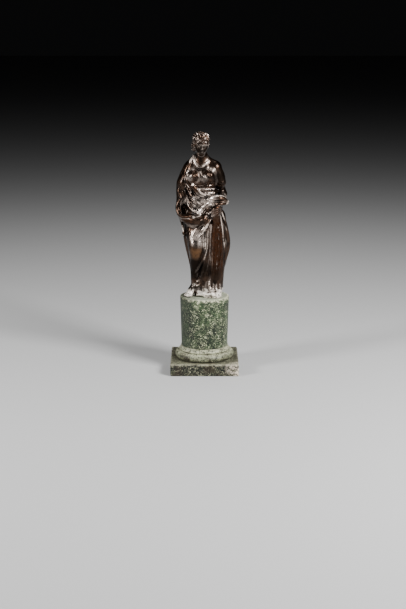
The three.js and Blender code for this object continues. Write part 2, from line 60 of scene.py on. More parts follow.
# The camera, as the photograph was taken
IMAGE_HEIGHT = 609
FOCAL_PIXELS = 1110
SENSOR = 36
PITCH = math.radians(13.6)
eye = bpy.data.cameras.new("eye")
eye.sensor_width = SENSOR
eye.lens = SENSOR * FOCAL_PIXELS / IMAGE_HEIGHT
eye.clip_start = 0.05
eye.clip_end = 20
eye_object = bpy.data.objects.new("eye", eye)
eye_object.location = (-0.0016, -1.150, 0.3472)
eye_object.rotation_euler = (math.pi / 2 - PITCH, 0, 0)
bpy.context.scene.collection.objects.link(eye_object)
bpy.context.scene.camera = eye_object


# Clay: each volume tells how far points lie outside its skin. Points come as three rows, across,
# back and up, and are sorted from low to high.
FAR = 1e3  # the gap where there is no clay
REACH = 4.0  # how far from its box a volume is still felt
NUDGE = 0.06  # the step over which a slope is read


def row_sum(rows):
    return rows[0] + rows[1] + rows[2]


def length(rows):
    return np.sqrt(row_sum(rows * rows))


def column(values):
    return np.array(values, float)[:, None]


class Clay:
    """A volume, its box, and the knots from which a rough maquette of it is made."""

    def __init__(self, gap, low, high, knots=(), radii=None):
        self.gap, self.knots, self.radii = gap, list(knots), radii
        self.low, self.high = np.array(low, float), np.array(high, float)

    def near(self, p, reach):
        """Which slab of the sorted points, and which of those, lie by the volume."""
        low, high = self.low - reach, self.high + reach
        first, last = np.searchsorted(p[2], [low[2], high[2]])
        x, y = p[0, first:last], p[1, first:last]
        chosen = np.flatnonzero((x > low[0]) & (x < high[0]) & (y > low[1]) & (y < high[1]))
        return first + chosen


def ball(centre, radii):
    middle, size = column(centre), column(radii)

    def gap(p):
        q = (p - middle) / size
        near = length(q)
        return near * (near - 1) / (length(q / size) + 1e-9)

    centre, radii = np.array(centre, float), np.array(radii, float)
    return Clay(gap, centre - radii, centre + radii, [centre], radii)


def limb(*knots):
    """A limb or roll of cloth through knots of (x, y, z, radius)."""
    knots = np.array(knots, float)

    def gap(p):
        best = np.full(p.shape[1], FAR)
        for start, end in zip(knots[:-1], knots[1:]):
            way = end[:3] - start[:3]
            off = p - start[:3, None]
            t = np.clip(way @ off / (way @ way), 0, 1)
            off -= way[:, None] * t
            best = np.minimum(best, length(off) - start[3] - (end[3] - start[3]) * t)
        return best

    reach = knots[:, 3:]
    return Clay(gap, (knots[:, :3] - reach).min(0), (knots[:, :3] + reach).max(0), knots)


def curve(knots, steps):
    """A smooth line through knots, whatever each knot holds."""
    knots = np.array(knots, float)
    ends = np.vstack([2 * knots[0] - knots[1], knots, 2 * knots[-1] - knots[-2]])
    line = []
    for i in range(1, len(ends) - 2):
        for t in np.arange(steps) / steps:
            a, b, c, d = ends[i - 1 : i + 3]
            bend = (2 * a - 5 * b + 4 * c - d) * t**2 + (3 * b - a - 3 * c + d) * t**3
            line.append(0.5 * (2 * b + (c - a) * t + bend))
    return np.array([*line, knots[-1]])


def roll(*knots, steps=3):
    """A smoothly bent limb."""
    return limb(*curve(knots, steps))


def join(a, b, fillet):
    """Two clays run together with a fillet."""
    h = np.maximum(fillet - np.abs(a - b), 0)
    return np.minimum(a, b) - h * h / (4 * fillet)


def blend(fillet, *parts):
    reach = REACH + fillet

    def gap(p):
        total = np.full(p.shape[1], FAR)
        for part in parts:
            near = part.near(p, reach)
            if len(near):
                total[near] = join(total[near], part.gap(p[:, near]), fillet)
        return total

    low = np.min([part.low for part in parts], 0)
    high = np.max([part.high for part in parts], 0)
    made = Clay(gap, low, high)
    made.parts = parts
    return made


def press(fillet, clay, *tools):
    """Hollows pressed into a clay."""

    def gap(p):
        total = clay.gap(p)
        for tool in tools:
            near = tool.near(p, REACH + fillet)
            if len(near):
                total[near] = -join(-total[near], tool.gap(p[:, near]), fillet)
        return total

    made = Clay(gap, clay.low, clay.high)
    made.parts = (clay,)
    return made


def both_sides(make):
    """The left and the right of a paired form."""
    return [make(side) for side in (-1, 1)]


def gap_of(clay, spots):
    """How far spots, given one to a row, lie outside a clay."""
    order = np.argsort(spots[:, 2], kind="stable")
    found = np.empty(len(spots))
    found[order] = clay.gap(np.ascontiguousarray(spots[order].T))
    return found


def slope(clay, spots):
    """A clay's gap at spots, and which way and how fast it grows."""
    middle = gap_of(clay, spots)
    step = NUDGE * np.eye(3)
    return middle, np.stack([(gap_of(clay, spots + step[k]) - middle) / NUDGE for k in range(3)], 1)


def unit(rows):
    return rows / (np.linalg.norm(rows, axis=-1, keepdims=True) + 1e-9)


def smoothstep(x, low, high):
    t = np.clip((x - low) / (high - low), 0, 1)
    return t * t * (3 - 2 * t)


# Body, legs, feet, arms and the left hand
trunk = blend(
    6,
    ball([0.5, 1.5, 78], [17, 12.5, 14]),
    ball([-0.5, 0, 98], [14, 11, 16]),
    ball([-2.5, 0.5, 123], [15, 10.5, 16]),
    limb([-14.4, 2.5, 135.4, 5.4], [-5, 2, 140, 5], [10.4, 1.5, 136.2, 5.8]),
    limb([-1, 2.6, 147, 4], [3.6, 2.8, 141, 4.8], [9, 3, 136.2, 5.1]),
)
bust = blend(3, ball([-11.4, -6.2, 127], [6.4, 6.6, 6.4]), ball([3.4, -6.4, 126.6], [6.4, 6.6, 6.4]))
belly = ball([-4, -4, 99], [15, 10.5, 14])
overfold = roll(
    [-10, -7, 111, 2.2],
    [-5, -8.6, 110, 3],
    [2, -9.2, 109.6, 3.2],
    [8, -7.2, 110, 3],
    [12, -2.5, 111, 2.4],
    [12.6, 3, 112, 1.6],
)
neck = limb([-3.6, 1.5, 138, 6.4], [-3.4, -0.2, 146, 5.7], [-3.9, -0.6, 152, 5.5])
standing_leg = roll([9, 1, 84, 11.5], [11, 0, 64, 10.5], [9.8, 0, 38, 8.6], [7, 0, 4, 8.2])
free_leg = roll(
    [-8, -1, 84, 10.5],
    [-8.4, -7.5, 68, 9.4],
    [-8.8, -12, 55, 8.2],
    [-9, -12, 49.5, 7.2],
    [-9.6, -9.4, 40, 5.6],
    [-10.2, -6, 28, 4.6],
    [-9.8, -2.5, 10, 4.4],
    steps=9,
)
free_foot = blend(
    1.2,
    limb([-9.5, -1, 9.6, 5], [-13.4, -4.2, 6.6, 4.3], [-15.6, -6.8, 4, 3.5]),
    *[
        limb(
            [-15.4 + 1.15 * out, -7.2 - 1.1 * out, 3.2, 1.15 * size],
            [-17.2 + 1.5 * out, -9.6 - 1.1 * out, 1.5, size],
        )
        for out, size in ((1.3, 1.35), (0.1, 1.1), (-0.8, 1.05), (-1.7, 1), (-2.5, 0.95))
    ],
)
standing_foot = limb([10, -2, 8, 6], [11.5, -10, 3.8, 4], [12.6, -14, 2.8, 3])
right_arm = roll([-15.8, 2, 133, 5.2], [-19.6, 2.6, 124, 5.4], [-22.4, 3, 115, 5.9], [-24, 3, 94, 6])
right_forearm = roll([-23.5, 1.5, 88, 5.6], [-19, -7, 83.5, 5], [-10, -13, 82.5, 5], [-1, -16, 85.5, 4.6])
left_arm = limb([14, 3, 126, 4.6], [17.2, 4, 114, 4.5], [18.2, 4, 109, 4.4])
left_sleeve = limb([11.2, 1.5, 134.6, 6], [15.4, 3.2, 124, 6], [16.4, 3.6, 119.6, 6])
left_forearm = limb([18.6, 3, 107.5, 4.2], [18.6, -12, 104, 3.8], [13.5, -19, 98, 3.2])
palm = blend(
    1.2,
    limb([14, -18.6, 98.2, 3], [12.2, -19.4, 91, 3]),
    limb([16, -17, 96.4, 2.6], [14.8, -17.6, 90.5, 2.4]),
)
fingers = blend(
    0.3,
    *[
        roll(
            [16, -19.4 + 0.3 * i, 98.4 - 2.2 * i, 1.2],
            [13, -22.6 + 0.3 * i, 97.2 - 2.25 * i, 1.35],
            [9.4, -23 + 0.4 * i, 95.4 - 2.1 * i, 1.25],
            [7.6, -20.6 + 0.4 * i, 94 - 2 * i, 1.05],
        )
        for i in range(4)
    ],
    roll([14.6, -18, 100, 1.5], [11.6, -20.8, 100.6, 1.4], [8.4, -21.6, 99, 1.15]),
)

# The mantle's masses
mantle_back = roll([-3, 5, 133, 7.5], [0, 5.5, 104, 10.5], [2, 5, 66, 13], [3, 5, 2, 13.5])
mantle_fall = roll([-18, 4, 104, 7], [-14, 3.5, 72, 7], [-11.4, 2, 50, 5.8], [-6.6, 3, 28, 5])
shoulder_cloth = roll(
    [-8.6, 2, 144.6, 3],
    [-11.5, 2.5, 141.5, 4.4],
    [-16, 2, 135, 5.4],
    [-21, 1.5, 120, 5.8],
)
outer_fall = roll(
    [16.4, -8, 90, 3.6],
    [19.6, -3.5, 70, 4.6],
    [19.8, -3, 57, 4.5],
    [18, -2.4, 45, 4.3],
    [14.2, -2, 24, 4],
    [11, -2, 3, 4.4],
)
mantle_end = roll([12, -17, 88, 4.2], [12.4, -12.3, 74, 6.2], [12.2, -9, 40, 6.8], [11.2, -8, 8, 6.8])
centre_fall = roll(
    [4.4, -10.6, 78, 4.8],
    [3.6, -10.4, 52, 4.8],
    [2.4, -8.6, 34, 5.2],
    [1, -7, 22, 5.6],
    [1, -5, 3, 6],
)
bundle = blend(
    3,
    limb([-6, -11.5, 84, 4.6], [1, -12.6, 91, 5], [9, -13.6, 99, 4.6]),
    limb([-8, -10.5, 78, 5], [0, -11.6, 83, 5], [8.5, -14, 90, 4]),
)
hem = blend(3, ball([8, -8.5, 2], [8.8, 7, 7]), ball([-1, -4, 2], [9, 6, 6]), ball([6, -9, 9], [5.5, 4, 9]))

# The mantle's rolls and edges, and the neck of the dress
neckline = roll(
    [-10.9, 0.4, 148.4, 0.9],
    [-10.8, -2.6, 144.6, 1.1],
    [-9, -5.0, 139.8, 1.2],
    [-5.1, -6.8, 136.4, 1.3],
    [-0.5, -6.2, 138.6, 1.2],
    [3, -3.8, 141.8, 1.1],
    [5.2, -0.8, 143.4, 0.9],
    [5.2, 3, 145.2, 0.8],
    [2, 6.4, 146.6, 0.8],
    [-3, 7.4, 147, 0.8],
    [-7.6, 5.8, 147.8, 0.9],
    [-10.2, 2.8, 147.8, 0.9],
    [-10.9, 0.4, 148.4, 0.9],
)
mantle_edge = roll(
    [-11.6, 0.5, 147.6, 0.9],
    [-13.6, -2, 143.4, 1.1],
    [-16.6, -3.6, 138, 1.1],
    [-19, -4, 132, 1.1],
    [-19.6, -3.8, 128, 1.2],
)
roll_high = roll(
    [-19.4, -3.4, 128.4, 1.3],
    [-17.2, -6.2, 122.8, 1.6],
    [-14, -8, 118.8, 1.9],
    [-10.3, -9.4, 114.6, 2.1],
    [-6.6, -11.2, 110.4, 2.2],
    [-3.4, -12.2, 108.4, 2.2],
    [1.6, -12.9, 107, 2.1],
    [7, -13.2, 106.4, 1.9],
    [11.5, -14.6, 105.2, 1.6],
)
roll_low = roll(
    [-18.4, -2.6, 119, 1.8],
    [-15.6, -6.2, 112.6, 2.5],
    [-12.2, -9.2, 107, 2.9],
    [-8.4, -11.8, 104, 3.1],
    [-3.6, -13.2, 102.8, 3.1],
    [2.6, -13.6, 103, 2.7],
    [8.5, -14.6, 103.8, 2.2],
    [12.5, -16, 103.6, 1.7],
)
pocket_rim = roll(
    [-17.6, -4.6, 107, 1.0],
    [-17.4, -8.6, 101, 1.2],
    [-15.4, -11.6, 96, 1.35],
    [-11.4, -14.2, 92.9, 1.5],
    [-6.5, -16.2, 91.4, 1.5],
    [-2, -17, 90.4, 1.3],
)
rise = roll(
    [-7.4, -17, 87.6, 1.1],
    [-4.8, -17.2, 93, 1.4],
    [-1.5, -16.8, 97.8, 1.5],
    [2.4, -16.6, 101, 1.4],
    [8.7, -17.4, 103, 1.2],
)
cuff = roll(
    [-24.6, -2, 103.4, 1.8],
    [-27.6, -2, 97.5, 2.3],
    [-27.6, -3, 91.5, 2.4],
    [-25.4, -6, 87.2, 2.3],
    [-21.6, -9.8, 85.8, 2.1],
    [-16.6, -13.6, 86.4, 1.9],
    [-10.8, -16.4, 87.6, 1.7],
    [-5, -17.8, 89, 1.4],
)
sling_edge = roll(
    [-24.4, -3, 82.8, 0.9],
    [-18.6, -9.2, 79, 1.1],
    [-12, -12.8, 77.6, 1.2],
    [-6.4, -14, 78.7, 1.2],
    [-1.5, -14.8, 82.2, 1.2],
    [4, -16.2, 86.8, 1.1],
)
edge_front = roll(
    [6.4, -17.8, 84.4, 1.1],
    [3.8, -16, 78, 1.3],
    [2.3, -14.8, 70, 1.4],
    [2.2, -14.8, 62, 1.4],
    [1.6, -14.4, 54, 1.4],
    [-0.6, -13.4, 45, 1.4],
    [-4, -12.2, 37, 1.3],
    [-7.4, -10.8, 30, 1.2],
    [-11, -9.2, 25.4, 0.5],
)
edge_behind = roll(
    [6.6, -15.6, 79, 1.2],
    [5.1, -14, 70, 1.3],
    [5.2, -13.2, 58, 1.4],
    [3.9, -12.8, 46, 1.4],
    [0.8, -12, 35, 1.3],
    [-2.6, -10.9, 26, 1.2],
    [-6, -8.8, 19, 0.5],
)
edge_deep = roll(
    [7, -14.5, 70, 1.2],
    [6.7, -13.2, 58, 1.4],
    [5.8, -13, 44, 1.5],
    [3.6, -12.4, 30, 1.5],
    [0.8, -11.4, 18, 1.4],
    [-1, -10, 10, 1.2],
)
long_edge = roll(
    [15.2, -17.4, 91, 1.1],
    [17.2, -15.4, 81, 1.25],
    [19.2, -12, 70.3, 1.35],
    [20.3, -8.4, 56.2, 1.4],
    [20, -7.4, 42.2, 1.4],
    [18, -8.4, 29.3, 1.35],
    [16, -9.8, 10, 1.2],
)
side_edge = roll(
    [16, -14, 95, 1.1],
    [18.6, -11.6, 87, 1.2],
    [22.2, -8, 78, 1.4],
    [24, -4.6, 67, 1.4],
    [24.2, -3, 54, 1.4],
    [22, -2, 42, 1.2],
    [20, -1, 34, 0.9],
)
wrist_cloth = blend(
    0.7,
    ball([14, -13.4, 103], [9.4, 5.4, 4.4]),
    roll(
        [3, -14.8, 104.6, 1.2],
        [8.7, -17.6, 106, 2],
        [15, -18.2, 106.2, 2.4],
        [20, -16, 105.2, 2],
        [24, -12.6, 102.2, 1],
        [25.4, -11.4, 100.8, 0.5],
    ),
    roll(
        [6, -17, 99.6, 1],
        [11, -19.6, 100.4, 1.7],
        [16.4, -19.6, 100.4, 1.8],
        [21, -16.8, 100.4, 1.4],
        [24.8, -13, 101, 0.5],
    ),
    roll(
        [6.4, -17.8, 107.4, 0.4],
        [12, -18.8, 108.6, 0.9],
        [18.4, -16.4, 108, 0.9],
        [22.6, -12.8, 105.6, 0.4],
    ),
)
pocket = blend(
    1,
    ball([-21.4, -6.4, 93.6], [3.9, 7, 5.8]),
    limb([-19, -11, 91, 2.3], [-12.5, -16.5, 90.4, 1.2]),
)
tassel = blend(
    0.8,
    roll([-24.4, -2, 84, 2.4], [-23.2, -3.6, 77, 1.4], [-22, -4.4, 71, 0.9], [-21.4, -4.6, 69.4, 0.6]),
    ball([-21.2, -4.6, 68], [1.3, 1.3, 1.6]),
    ball([-21, -4.6, 66.2], [0.8, 0.8, 1]),
)
hem_folds = [
    roll([0.8, -9.4, 24, 0.3], [-1, -10.4, 13, 1.0], [-2.2, -9.8, 6.5, 1.3], [-4.6, -8.6, 1.4, 1.4]),
    roll([3.4, -11, 22, 0.3], [1.8, -12, 13, 1.0], [2.8, -13, 7, 1.3], [0.8, -12, 1.4, 1.5]),
    roll([6.4, -12.6, 20, 0.3], [5, -13.6, 13, 1.0], [6.8, -14.4, 7.6, 1.35], [5, -14.6, 1.4, 1.5]),
    roll([9, -13.8, 19, 0.3], [9.8, -14.8, 12, 1.0], [8.6, -15.4, 6, 1.3], [10.2, -15.4, 1.4, 1.5]),
    roll([12.6, -14, 18, 0.3], [12, -15.2, 11.6, 1.0], [13.8, -15.2, 6, 1.3], [13, -15, 1.4, 1.6]),
    roll(
        [15, -12.6, 19, 0.3],
        [16.2, -13.2, 11.6, 1.1],
        [15.6, -13.2, 5.4, 1.4],
        [16.4, -11.4, 1.6, 1.6],
    ),
    roll(
        [-3, -9.6, 5.4, 0.4],
        [1.6, -13.4, 3.4, 1.1],
        [6.5, -15.8, 5.2, 1.1],
        [11.5, -16.2, 3, 1.2],
        [17, -12.4, 5, 0.5],
    ),
    roll([3.6, -12.8, 10.6, 0.4], [7.6, -15, 8.6, 1.1], [12, -15.8, 9.6, 1.0], [16, -13.4, 8, 0.4]),
]
# The hem that lies on the ground round the back, waving in and out
back_turn = np.radians(np.linspace(72, 300, 30))
back_reach = 13.6 + 0.9 * np.sin(7 * back_turn + 1)
back_hem = roll(
    *zip(
        3 + back_reach * np.sin(back_turn),
        5 - back_reach * np.cos(back_turn),
        1.3 + 0.4 * np.sin(5 * back_turn),
        1.3 + 0.35 * np.sin(11 * back_turn),
    )
)

# Head: its own frame, the face towards -Y, turned to her left and bowed
HEAD_CENTRE = (-4.1, -2.4, 159.4)
HEAD_TURN = math.radians(14)
HEAD_BOW = math.radians(12)
head_bend = Matrix.Rotation(HEAD_TURN, 4, "Z") @ Matrix.Rotation(HEAD_BOW, 4, "X")
head_frame = np.array(Matrix.Translation(HEAD_CENTRE) @ head_bend)
skull = blend(
    3,
    ball([0, 1.2, 1.5], [6.7, 8.2, 8.4]),
    ball([0, -2.2, -3.4], [5.4, 6, 7]),
    ball([0, -5.4, -8.2], [2.4, 2.2, 2.1]),
    *both_sides(lambda s: ball([s * 3.2, -4.8, -2.8], [2.2, 2.2, 2.4])),
)
sockets = both_sides(lambda s: ball([s * 2.5, -9, -0.1], [1.9, 1.7, 1.25]))
eyes = both_sides(lambda s: ball([s * 2.5, -6.5, -0.2], [1.3, 1.25, 0.85]))
lids = both_sides(
    lambda s: limb([s * 3.9, -6.5, 0.1, 0.3], [s * 2.5, -7.5, 0.65, 0.35], [s * 1.2, -7.3, 0.1, 0.3])
)
brows = both_sides(
    lambda s: limb([s * 4.5, -6, 1.4, 0.5], [s * 2.6, -7.3, 2, 0.55], [s * 0.7, -7.7, 1.4, 0.5])
)
nose = blend(
    0.9,
    limb([0, -7.7, 1.4, 0.75], [0, -8.6, -1, 0.7], [0, -9.2, -2.6, 0.85]),
    *both_sides(lambda s: ball([s * 0.85, -8.4, -2.9], [0.6, 0.8, 0.5])),
)
lips = blend(
    0.25,
    limb(
        [-1.8, -7.3, -4.9, 0.3],
        [-0.6, -8.1, -4.55, 0.5],
        [0.6, -8.1, -4.55, 0.5],
        [1.8, -7.3, -4.9, 0.3],
    ),
    limb([-1.5, -7.3, -5.5, 0.3], [0, -8, -5.75, 0.65], [1.5, -7.3, -5.5, 0.3]),
)
chin = ball([0, -6.5, -8.2], [1.9, 1.5, 1.6])
face = blend(0.8, press(1, skull, *sockets), *brows, nose, chin)
face = blend(0.3, face, *eyes, *lids, lips)
hair_bulk = blend(
    2,
    ball([0, 2.6, 2.8], [7.1, 8.4, 8.2]),
    ball([0, -1, 8.2], [8.1, 6, 4.5]),
    *both_sides(
        lambda s: limb(
            [s * 4.8, -4, 6.4, 2.2],
            [s * 6.2, -1.8, 1.6, 1.7],
            [s * 5.6, 3, -4, 2.2],
            [0, 8, -4, 3.2],
        )
    ),
    limb([0, 9, 2, 4], [0, 10.4, -1, 3.4]),
    *both_sides(lambda s: limb([s * 6, 0.6, -1, 2], [s * 5.6, 2.6, -5, 1.7])),
)

# Curls are set out evenly round the head, each a small dome wound like a snail
CURLS = 128
CURL_RADIUS = 2.1
CURL_HEIGHT = 1.35
CURL_TURNS = 1.2
CURL_MARGIN = 0.9
CURL_SEED = 5
GOLDEN_TURN = math.pi * (3 - math.sqrt(5))
MARCH_STEPS = 60
MARCH_SHARE = 0.7
MARCH_LIMITS = (-0.5, 2.5)
HAIR_HEART = np.array([0, 1.5, 2.5])
HAIR_REACH = 20
HAIR_FILLET = 0.3


def even_ways(count):
    """Directions spread evenly over a sphere."""
    index = np.arange(count) + 0.5
    height = 1 - 2 * index / count
    flat = np.sqrt(1 - height**2)
    turn = GOLDEN_TURN * index
    return np.stack([flat * np.cos(turn), flat * np.sin(turn), height], 1)


def march(clay, start, way, furthest):
    """Runs points along their ways until they meet the clay."""
    gone = np.zeros(len(start))
    for _ in range(MARCH_STEPS):
        step = np.clip(gap_of(clay, start + gone[:, None] * way) * MARCH_SHARE, *MARCH_LIMITS)
        gone = np.minimum(gone + step, furthest)
    return start + gone[:, None] * way


curl_rng = np.random.default_rng(CURL_SEED)
curl_way = even_ways(CURLS)
curl_spot = march(hair_bulk, HAIR_HEART + HAIR_REACH * curl_way, -curl_way, HAIR_REACH - 1)
curl_hand = np.where(curl_rng.random(CURLS) < 0.5, -1.0, 1.0)
curl_start = curl_rng.random(CURLS) * 2 * math.pi
curl_side = unit(np.cross([0, 0, 1.0], curl_way))
curl_over = np.cross(curl_way, curl_side)


def curls(p):
    """How far the curls stand out at points in the head's frame."""
    raised = np.zeros(p.shape[1])
    for k, spot in enumerate(curl_spot):
        off = p - spot[:, None]
        near = np.flatnonzero(np.abs(off).max(0) < CURL_RADIUS + CURL_MARGIN)
        if not len(near):
            continue
        a, b = curl_side[k] @ off[:, near], curl_over[k] @ off[:, near]
        away = np.sqrt(a * a + b * b) / CURL_RADIUS
        dome = np.clip(1 - away**2, 0, 1) ** 0.6
        turn = curl_start[k] + curl_hand[k] * np.arctan2(b, a) + 2 * math.pi * CURL_TURNS * away
        wind = 0.5 + 0.5 * np.cos(turn)
        raised[near] = np.maximum(raised[near], CURL_HEIGHT * dome * (0.5 + 0.5 * wind))
    return raised


def in_head_frame(clay):
    """A head's clay, worked out from points of the whole figure."""

    def gap(p):
        inside = head_frame[:3, :3].T @ (p - head_frame[:3, 3:])
        order = np.argsort(inside[2], kind="stable")
        inside = inside[:, order]
        found = np.empty(p.shape[1])
        found[order] = join(clay.gap(inside), hair_bulk.gap(inside) - curls(inside), HAIR_FILLET)
        return found

    return Clay(gap, [-14, -14, 147], [8, 12, 173])


head = in_head_frame(face)

# All the clay before its folds
cloth = blend(
    4,
    blend(5, trunk, standing_leg, free_leg, mantle_back, mantle_fall, shoulder_cloth, centre_fall),
    belly,
    outer_fall,
    mantle_end,
    hem,
    bust,
    neck,
    standing_foot,
    right_arm,
    right_forearm,
    left_sleeve,
    bundle,
)
sleeves = blend(1.4, blend(2, cloth, left_forearm, overfold, free_foot), left_arm)
rolled = blend(
    0.9,
    sleeves,
    neckline,
    mantle_edge,
    roll_high,
    roll_low,
    cuff,
    long_edge,
    side_edge,
    edge_deep,
    edge_behind,
    edge_front,
    back_hem,
    *hem_folds,
)
dressed = blend(0.7, press(1.2, rolled, pocket), pocket_rim, rise, sling_edge, palm, wrist_cloth, tassel)
dressed = blend(0.35, dressed, fingers)
whole_clay = blend(1.2, dressed, head)

# Folds: ridges and grooves laid along paths over the clay
CREST_POWER = 4  # how softly crossing folds run together
PATH_STEPS = 8
NARROWEST, WIDEST = 1.4, 8  # the space that a family's fold may take


class Fold:
    """A ridge along a spine: its widths to both sides and its heights, from end to end."""

    def __init__(self, spine, out, widths, heights, sharp, ends, cuts):
        self.spine, self.out, self.sharp = spine, out, sharp
        self.widths = np.broadcast_to(np.asarray(widths, float), (len(spine), 2)).T
        share = np.linspace(0, 1, len(spine))
        first, last = (np.maximum(end, 1e-6) for end in ends)
        taper = smoothstep(np.minimum((share - cuts[0]) / first, (1 - cuts[1] - share) / last), 0, 1)
        self.heights = np.broadcast_to(heights, len(spine)) * taper
        self.reach = self.widths.max() + self.heights.max() + 0.5
        self.box = Clay(None, spine.min(0), spine.max(0))
        self.square = (spine * spine).sum(1)

    def to_segment(self, q, index):
        """How points lie off one segment of the spine, and how far along the spine that is."""
        start = self.spine[index].T
        way = self.spine[index + 1].T - start
        off = q - start
        t = np.clip(row_sum(off * way) / row_sum(way * way), 0, 1)
        return off - way * t, index + t, way

    def lift(self, p, raised):
        near = self.box.near(p, self.reach)
        if not len(near):
            return
        q = p[:, near]
        nearest = np.argmin(self.square[:, None] - 2 * self.spine @ q, axis=0)
        back = self.to_segment(q, np.maximum(nearest - 1, 0))
        on = self.to_segment(q, np.minimum(nearest, len(self.spine) - 2))
        behind = row_sum(back[0] ** 2) < row_sum(on[0] ** 2)
        off, along, way = (np.where(behind, a, b) for a, b in zip(back, on))
        below = along.astype(int)
        above = np.minimum(below + 1, len(self.out) - 1)
        share = (along - below)[:, None]
        out = (self.out[below] * (1 - share) + self.out[above] * share).T
        proud = row_sum(off * out)
        right = row_sum(np.cross(way, out, axis=0) * off) > 0
        places = np.arange(len(self.spine))
        left_width, right_width = (np.interp(along, places, widths) for widths in self.widths)
        width = np.where(right, right_width, left_width)
        height = np.interp(along, places, self.heights)
        across = np.maximum(row_sum(off * off) - proud**2, 0) / width**2
        lifted = height * np.clip(1 - across, 0, 1) ** self.sharp
        lifted[np.abs(proud) > width + height + 1] = 0
        raised[near] += lifted**CREST_POWER


plans = []
NO_CUTS = [(0, 0)]

# How far off paths start on their way to the clay, and how far they may go
FRONT_START, FRONT_WAY = 40, 46
ROUND_START, ROUND_WAY = 45, 44


def seen(flat):
    """Spots given as they are seen from the front: (across, up)."""
    start = np.stack([flat[:, 0], np.full(len(flat), -float(FRONT_START)), flat[:, 1]], 1)
    return march(sleeves, start, np.array([[0, 1.0, 0]]), FRONT_WAY)


def round_about(flat):
    """Spots given round the figure: (degrees from the front to her left, up)."""
    turn = np.radians(flat[:, 0])
    way = np.stack([np.sin(turn), -np.cos(turn), np.zeros(len(turn))], 1)
    centre = np.stack([-5 * smoothstep(flat[:, 1], 100, 150), np.zeros(len(turn)), flat[:, 1]], 1)
    return march(sleeves, centre + ROUND_START * way, -way, ROUND_WAY)


def fold(lay, knots, width, height, sharp=1.3, ends=(0.2, 0.2), kind="ridge"):
    """One fold, as wide all along to each side as its width says."""
    rows = [curve(knots, PATH_STEPS)]
    plans.append(dict(lay=lay, rows=rows, width=width, height=height, sharp=sharp, ends=ends, kind=kind))


def family(
    lay, count, first, last, height, *, seed,
    share=0.56, sharp=1.0, ends=(0.25, 0.25), jitter=0.3, stagger=0.2,
):
    """Folds between a first and a last, as wide as the space between them and cut short at random."""
    rng = np.random.default_rng(seed)
    first, last = curve(first, PATH_STEPS), curve(last, PATH_STEPS)
    places = np.linspace(0, 1, count) + jitter * (rng.random(count) - 0.5) / count
    rows = [first * (1 - t) + last * t for t in places]
    heights = height * (1 + jitter * (rng.random(count) - 0.5))
    cuts = stagger * rng.random((count, 2))
    plan = dict(lay=lay, rows=rows, share=share, height=heights, sharp=sharp, ends=ends)
    plans.append(dict(plan, cuts=cuts, kind="ridge"))


def lay_plans():
    """Lays every planned row on the clay, all those of one kind of path at once."""
    laid = {"ridge": [], "groove": []}
    for lay in (seen, round_about):
        chosen = [plan for plan in plans if plan["lay"] is lay]
        rows = [row for plan in chosen for row in plan["rows"]]
        spots = lay(np.concatenate(rows))
        outs = unit(slope(sleeves, spots)[1])
        cuts = np.cumsum([len(row) for row in rows])[:-1]
        spots, outs = np.split(spots, cuts), np.split(outs, cuts)
        for plan in chosen:
            count = len(plan["rows"])
            mine, spots = spots[:count], spots[count:]
            ways, outs = outs[:count], outs[count:]
            for i, row in enumerate(mine):
                if "share" in plan:
                    beside = mine[i + 1 if i + 1 < count else i - 1], mine[i - 1 if i else 1]
                    spaces = [np.linalg.norm(row - near, axis=1) for near in beside]
                    widths = plan["share"] * np.clip(np.stack(spaces, 1), NARROWEST, WIDEST)
                    heights = plan["height"][i] * np.sqrt(widths.mean(1) / widths.max())
                else:
                    widths, heights = plan["width"], plan["height"]
                ends = plan["ends"], plan.get("cuts", NO_CUTS)[i]
                laid[plan["kind"]].append(Fold(row, ways[i], widths, heights, plan["sharp"], *ends))
    return laid["ridge"], laid["groove"]


# The neck of the dress, its pleats over the breasts, and the girdle's two cords
fold(seen, [(-4.8, 135), (-2.6, 130.4), (0.3, 125.6)], 1.3, 1.3)
fold(seen, [(3.6, 132.4), (2.6, 128.7), (0.9, 125.2)], 1.2, 1.2)
fold(seen, [(-13.6, 134.6), (-12, 130.4), (-10.4, 126.6), (-9.4, 122)], 1.5, 1.0, ends=(0.4, 0.5))
fold(seen, [(-9.4, 134.4), (-8.4, 130), (-7.8, 124.6)], 1.2, 0.7, ends=(0.4, 0.5))
family(
    seen, 4, [(4, 140), (3, 137), (1.6, 132)], [(10.6, 139), (10.6, 131), (9.6, 119.5)],
    0.9, sharp=1.3, ends=(0.5, 0.5), seed=3,
)
family(
    seen, 7, [(-12, 125), (-10.6, 121.5), (-9, 118.8)], [(9.4, 124), (8.6, 121.5), (8, 118.8)],
    0.45, ends=(0.6, 0.2), seed=4,
)
fold(seen, [(6.2, 123.6), (8.8, 120.4), (9.8, 116.1)], 1.2, 1.0)
fold(seen, [(-9.6, 118.4), (-0.5, 117.7), (9.5, 118.4)], 0.9, 0.9, ends=(0.05, 0.05))
fold(seen, [(-7, 114.6), (0.5, 114.2), (11, 114.6)], 0.9, 0.9, ends=(0.05, 0.05))
family(
    seen, 5, [(-4.6, 113), (-3.4, 111), (-2, 108.6)], [(11, 113), (11.2, 110.6), (10.4, 107)],
    0.6, sharp=1.3, ends=(0.4, 0.5), jitter=0.9, seed=5,
)

# The mantle over the right shoulder and down that arm to its hollow at the elbow
family(
    seen, 5, [(-12.1, 146.6), (-15.6, 140.8), (-17, 132.9), (-17.4, 125.9)],
    [(-18.6, 138.3), (-22, 130.1), (-24.6, 120.8), (-26.4, 112)],
    1.0, seed=6,
)
for top, foot, width in (
    ((-27.6, 117), (-23.6, 102), 1.7),
    ((-26, 121), (-20.6, 104.6), 1.5),
    ((-23, 122.4), (-18.8, 108), 1.3),
):
    middle = ((top[0] + foot[0]) / 2 - 0.4, (top[1] + foot[1]) / 2)
    fold(seen, [top, middle, foot], width, 1.3, sharp=1.1, ends=(0.4, 0.3))

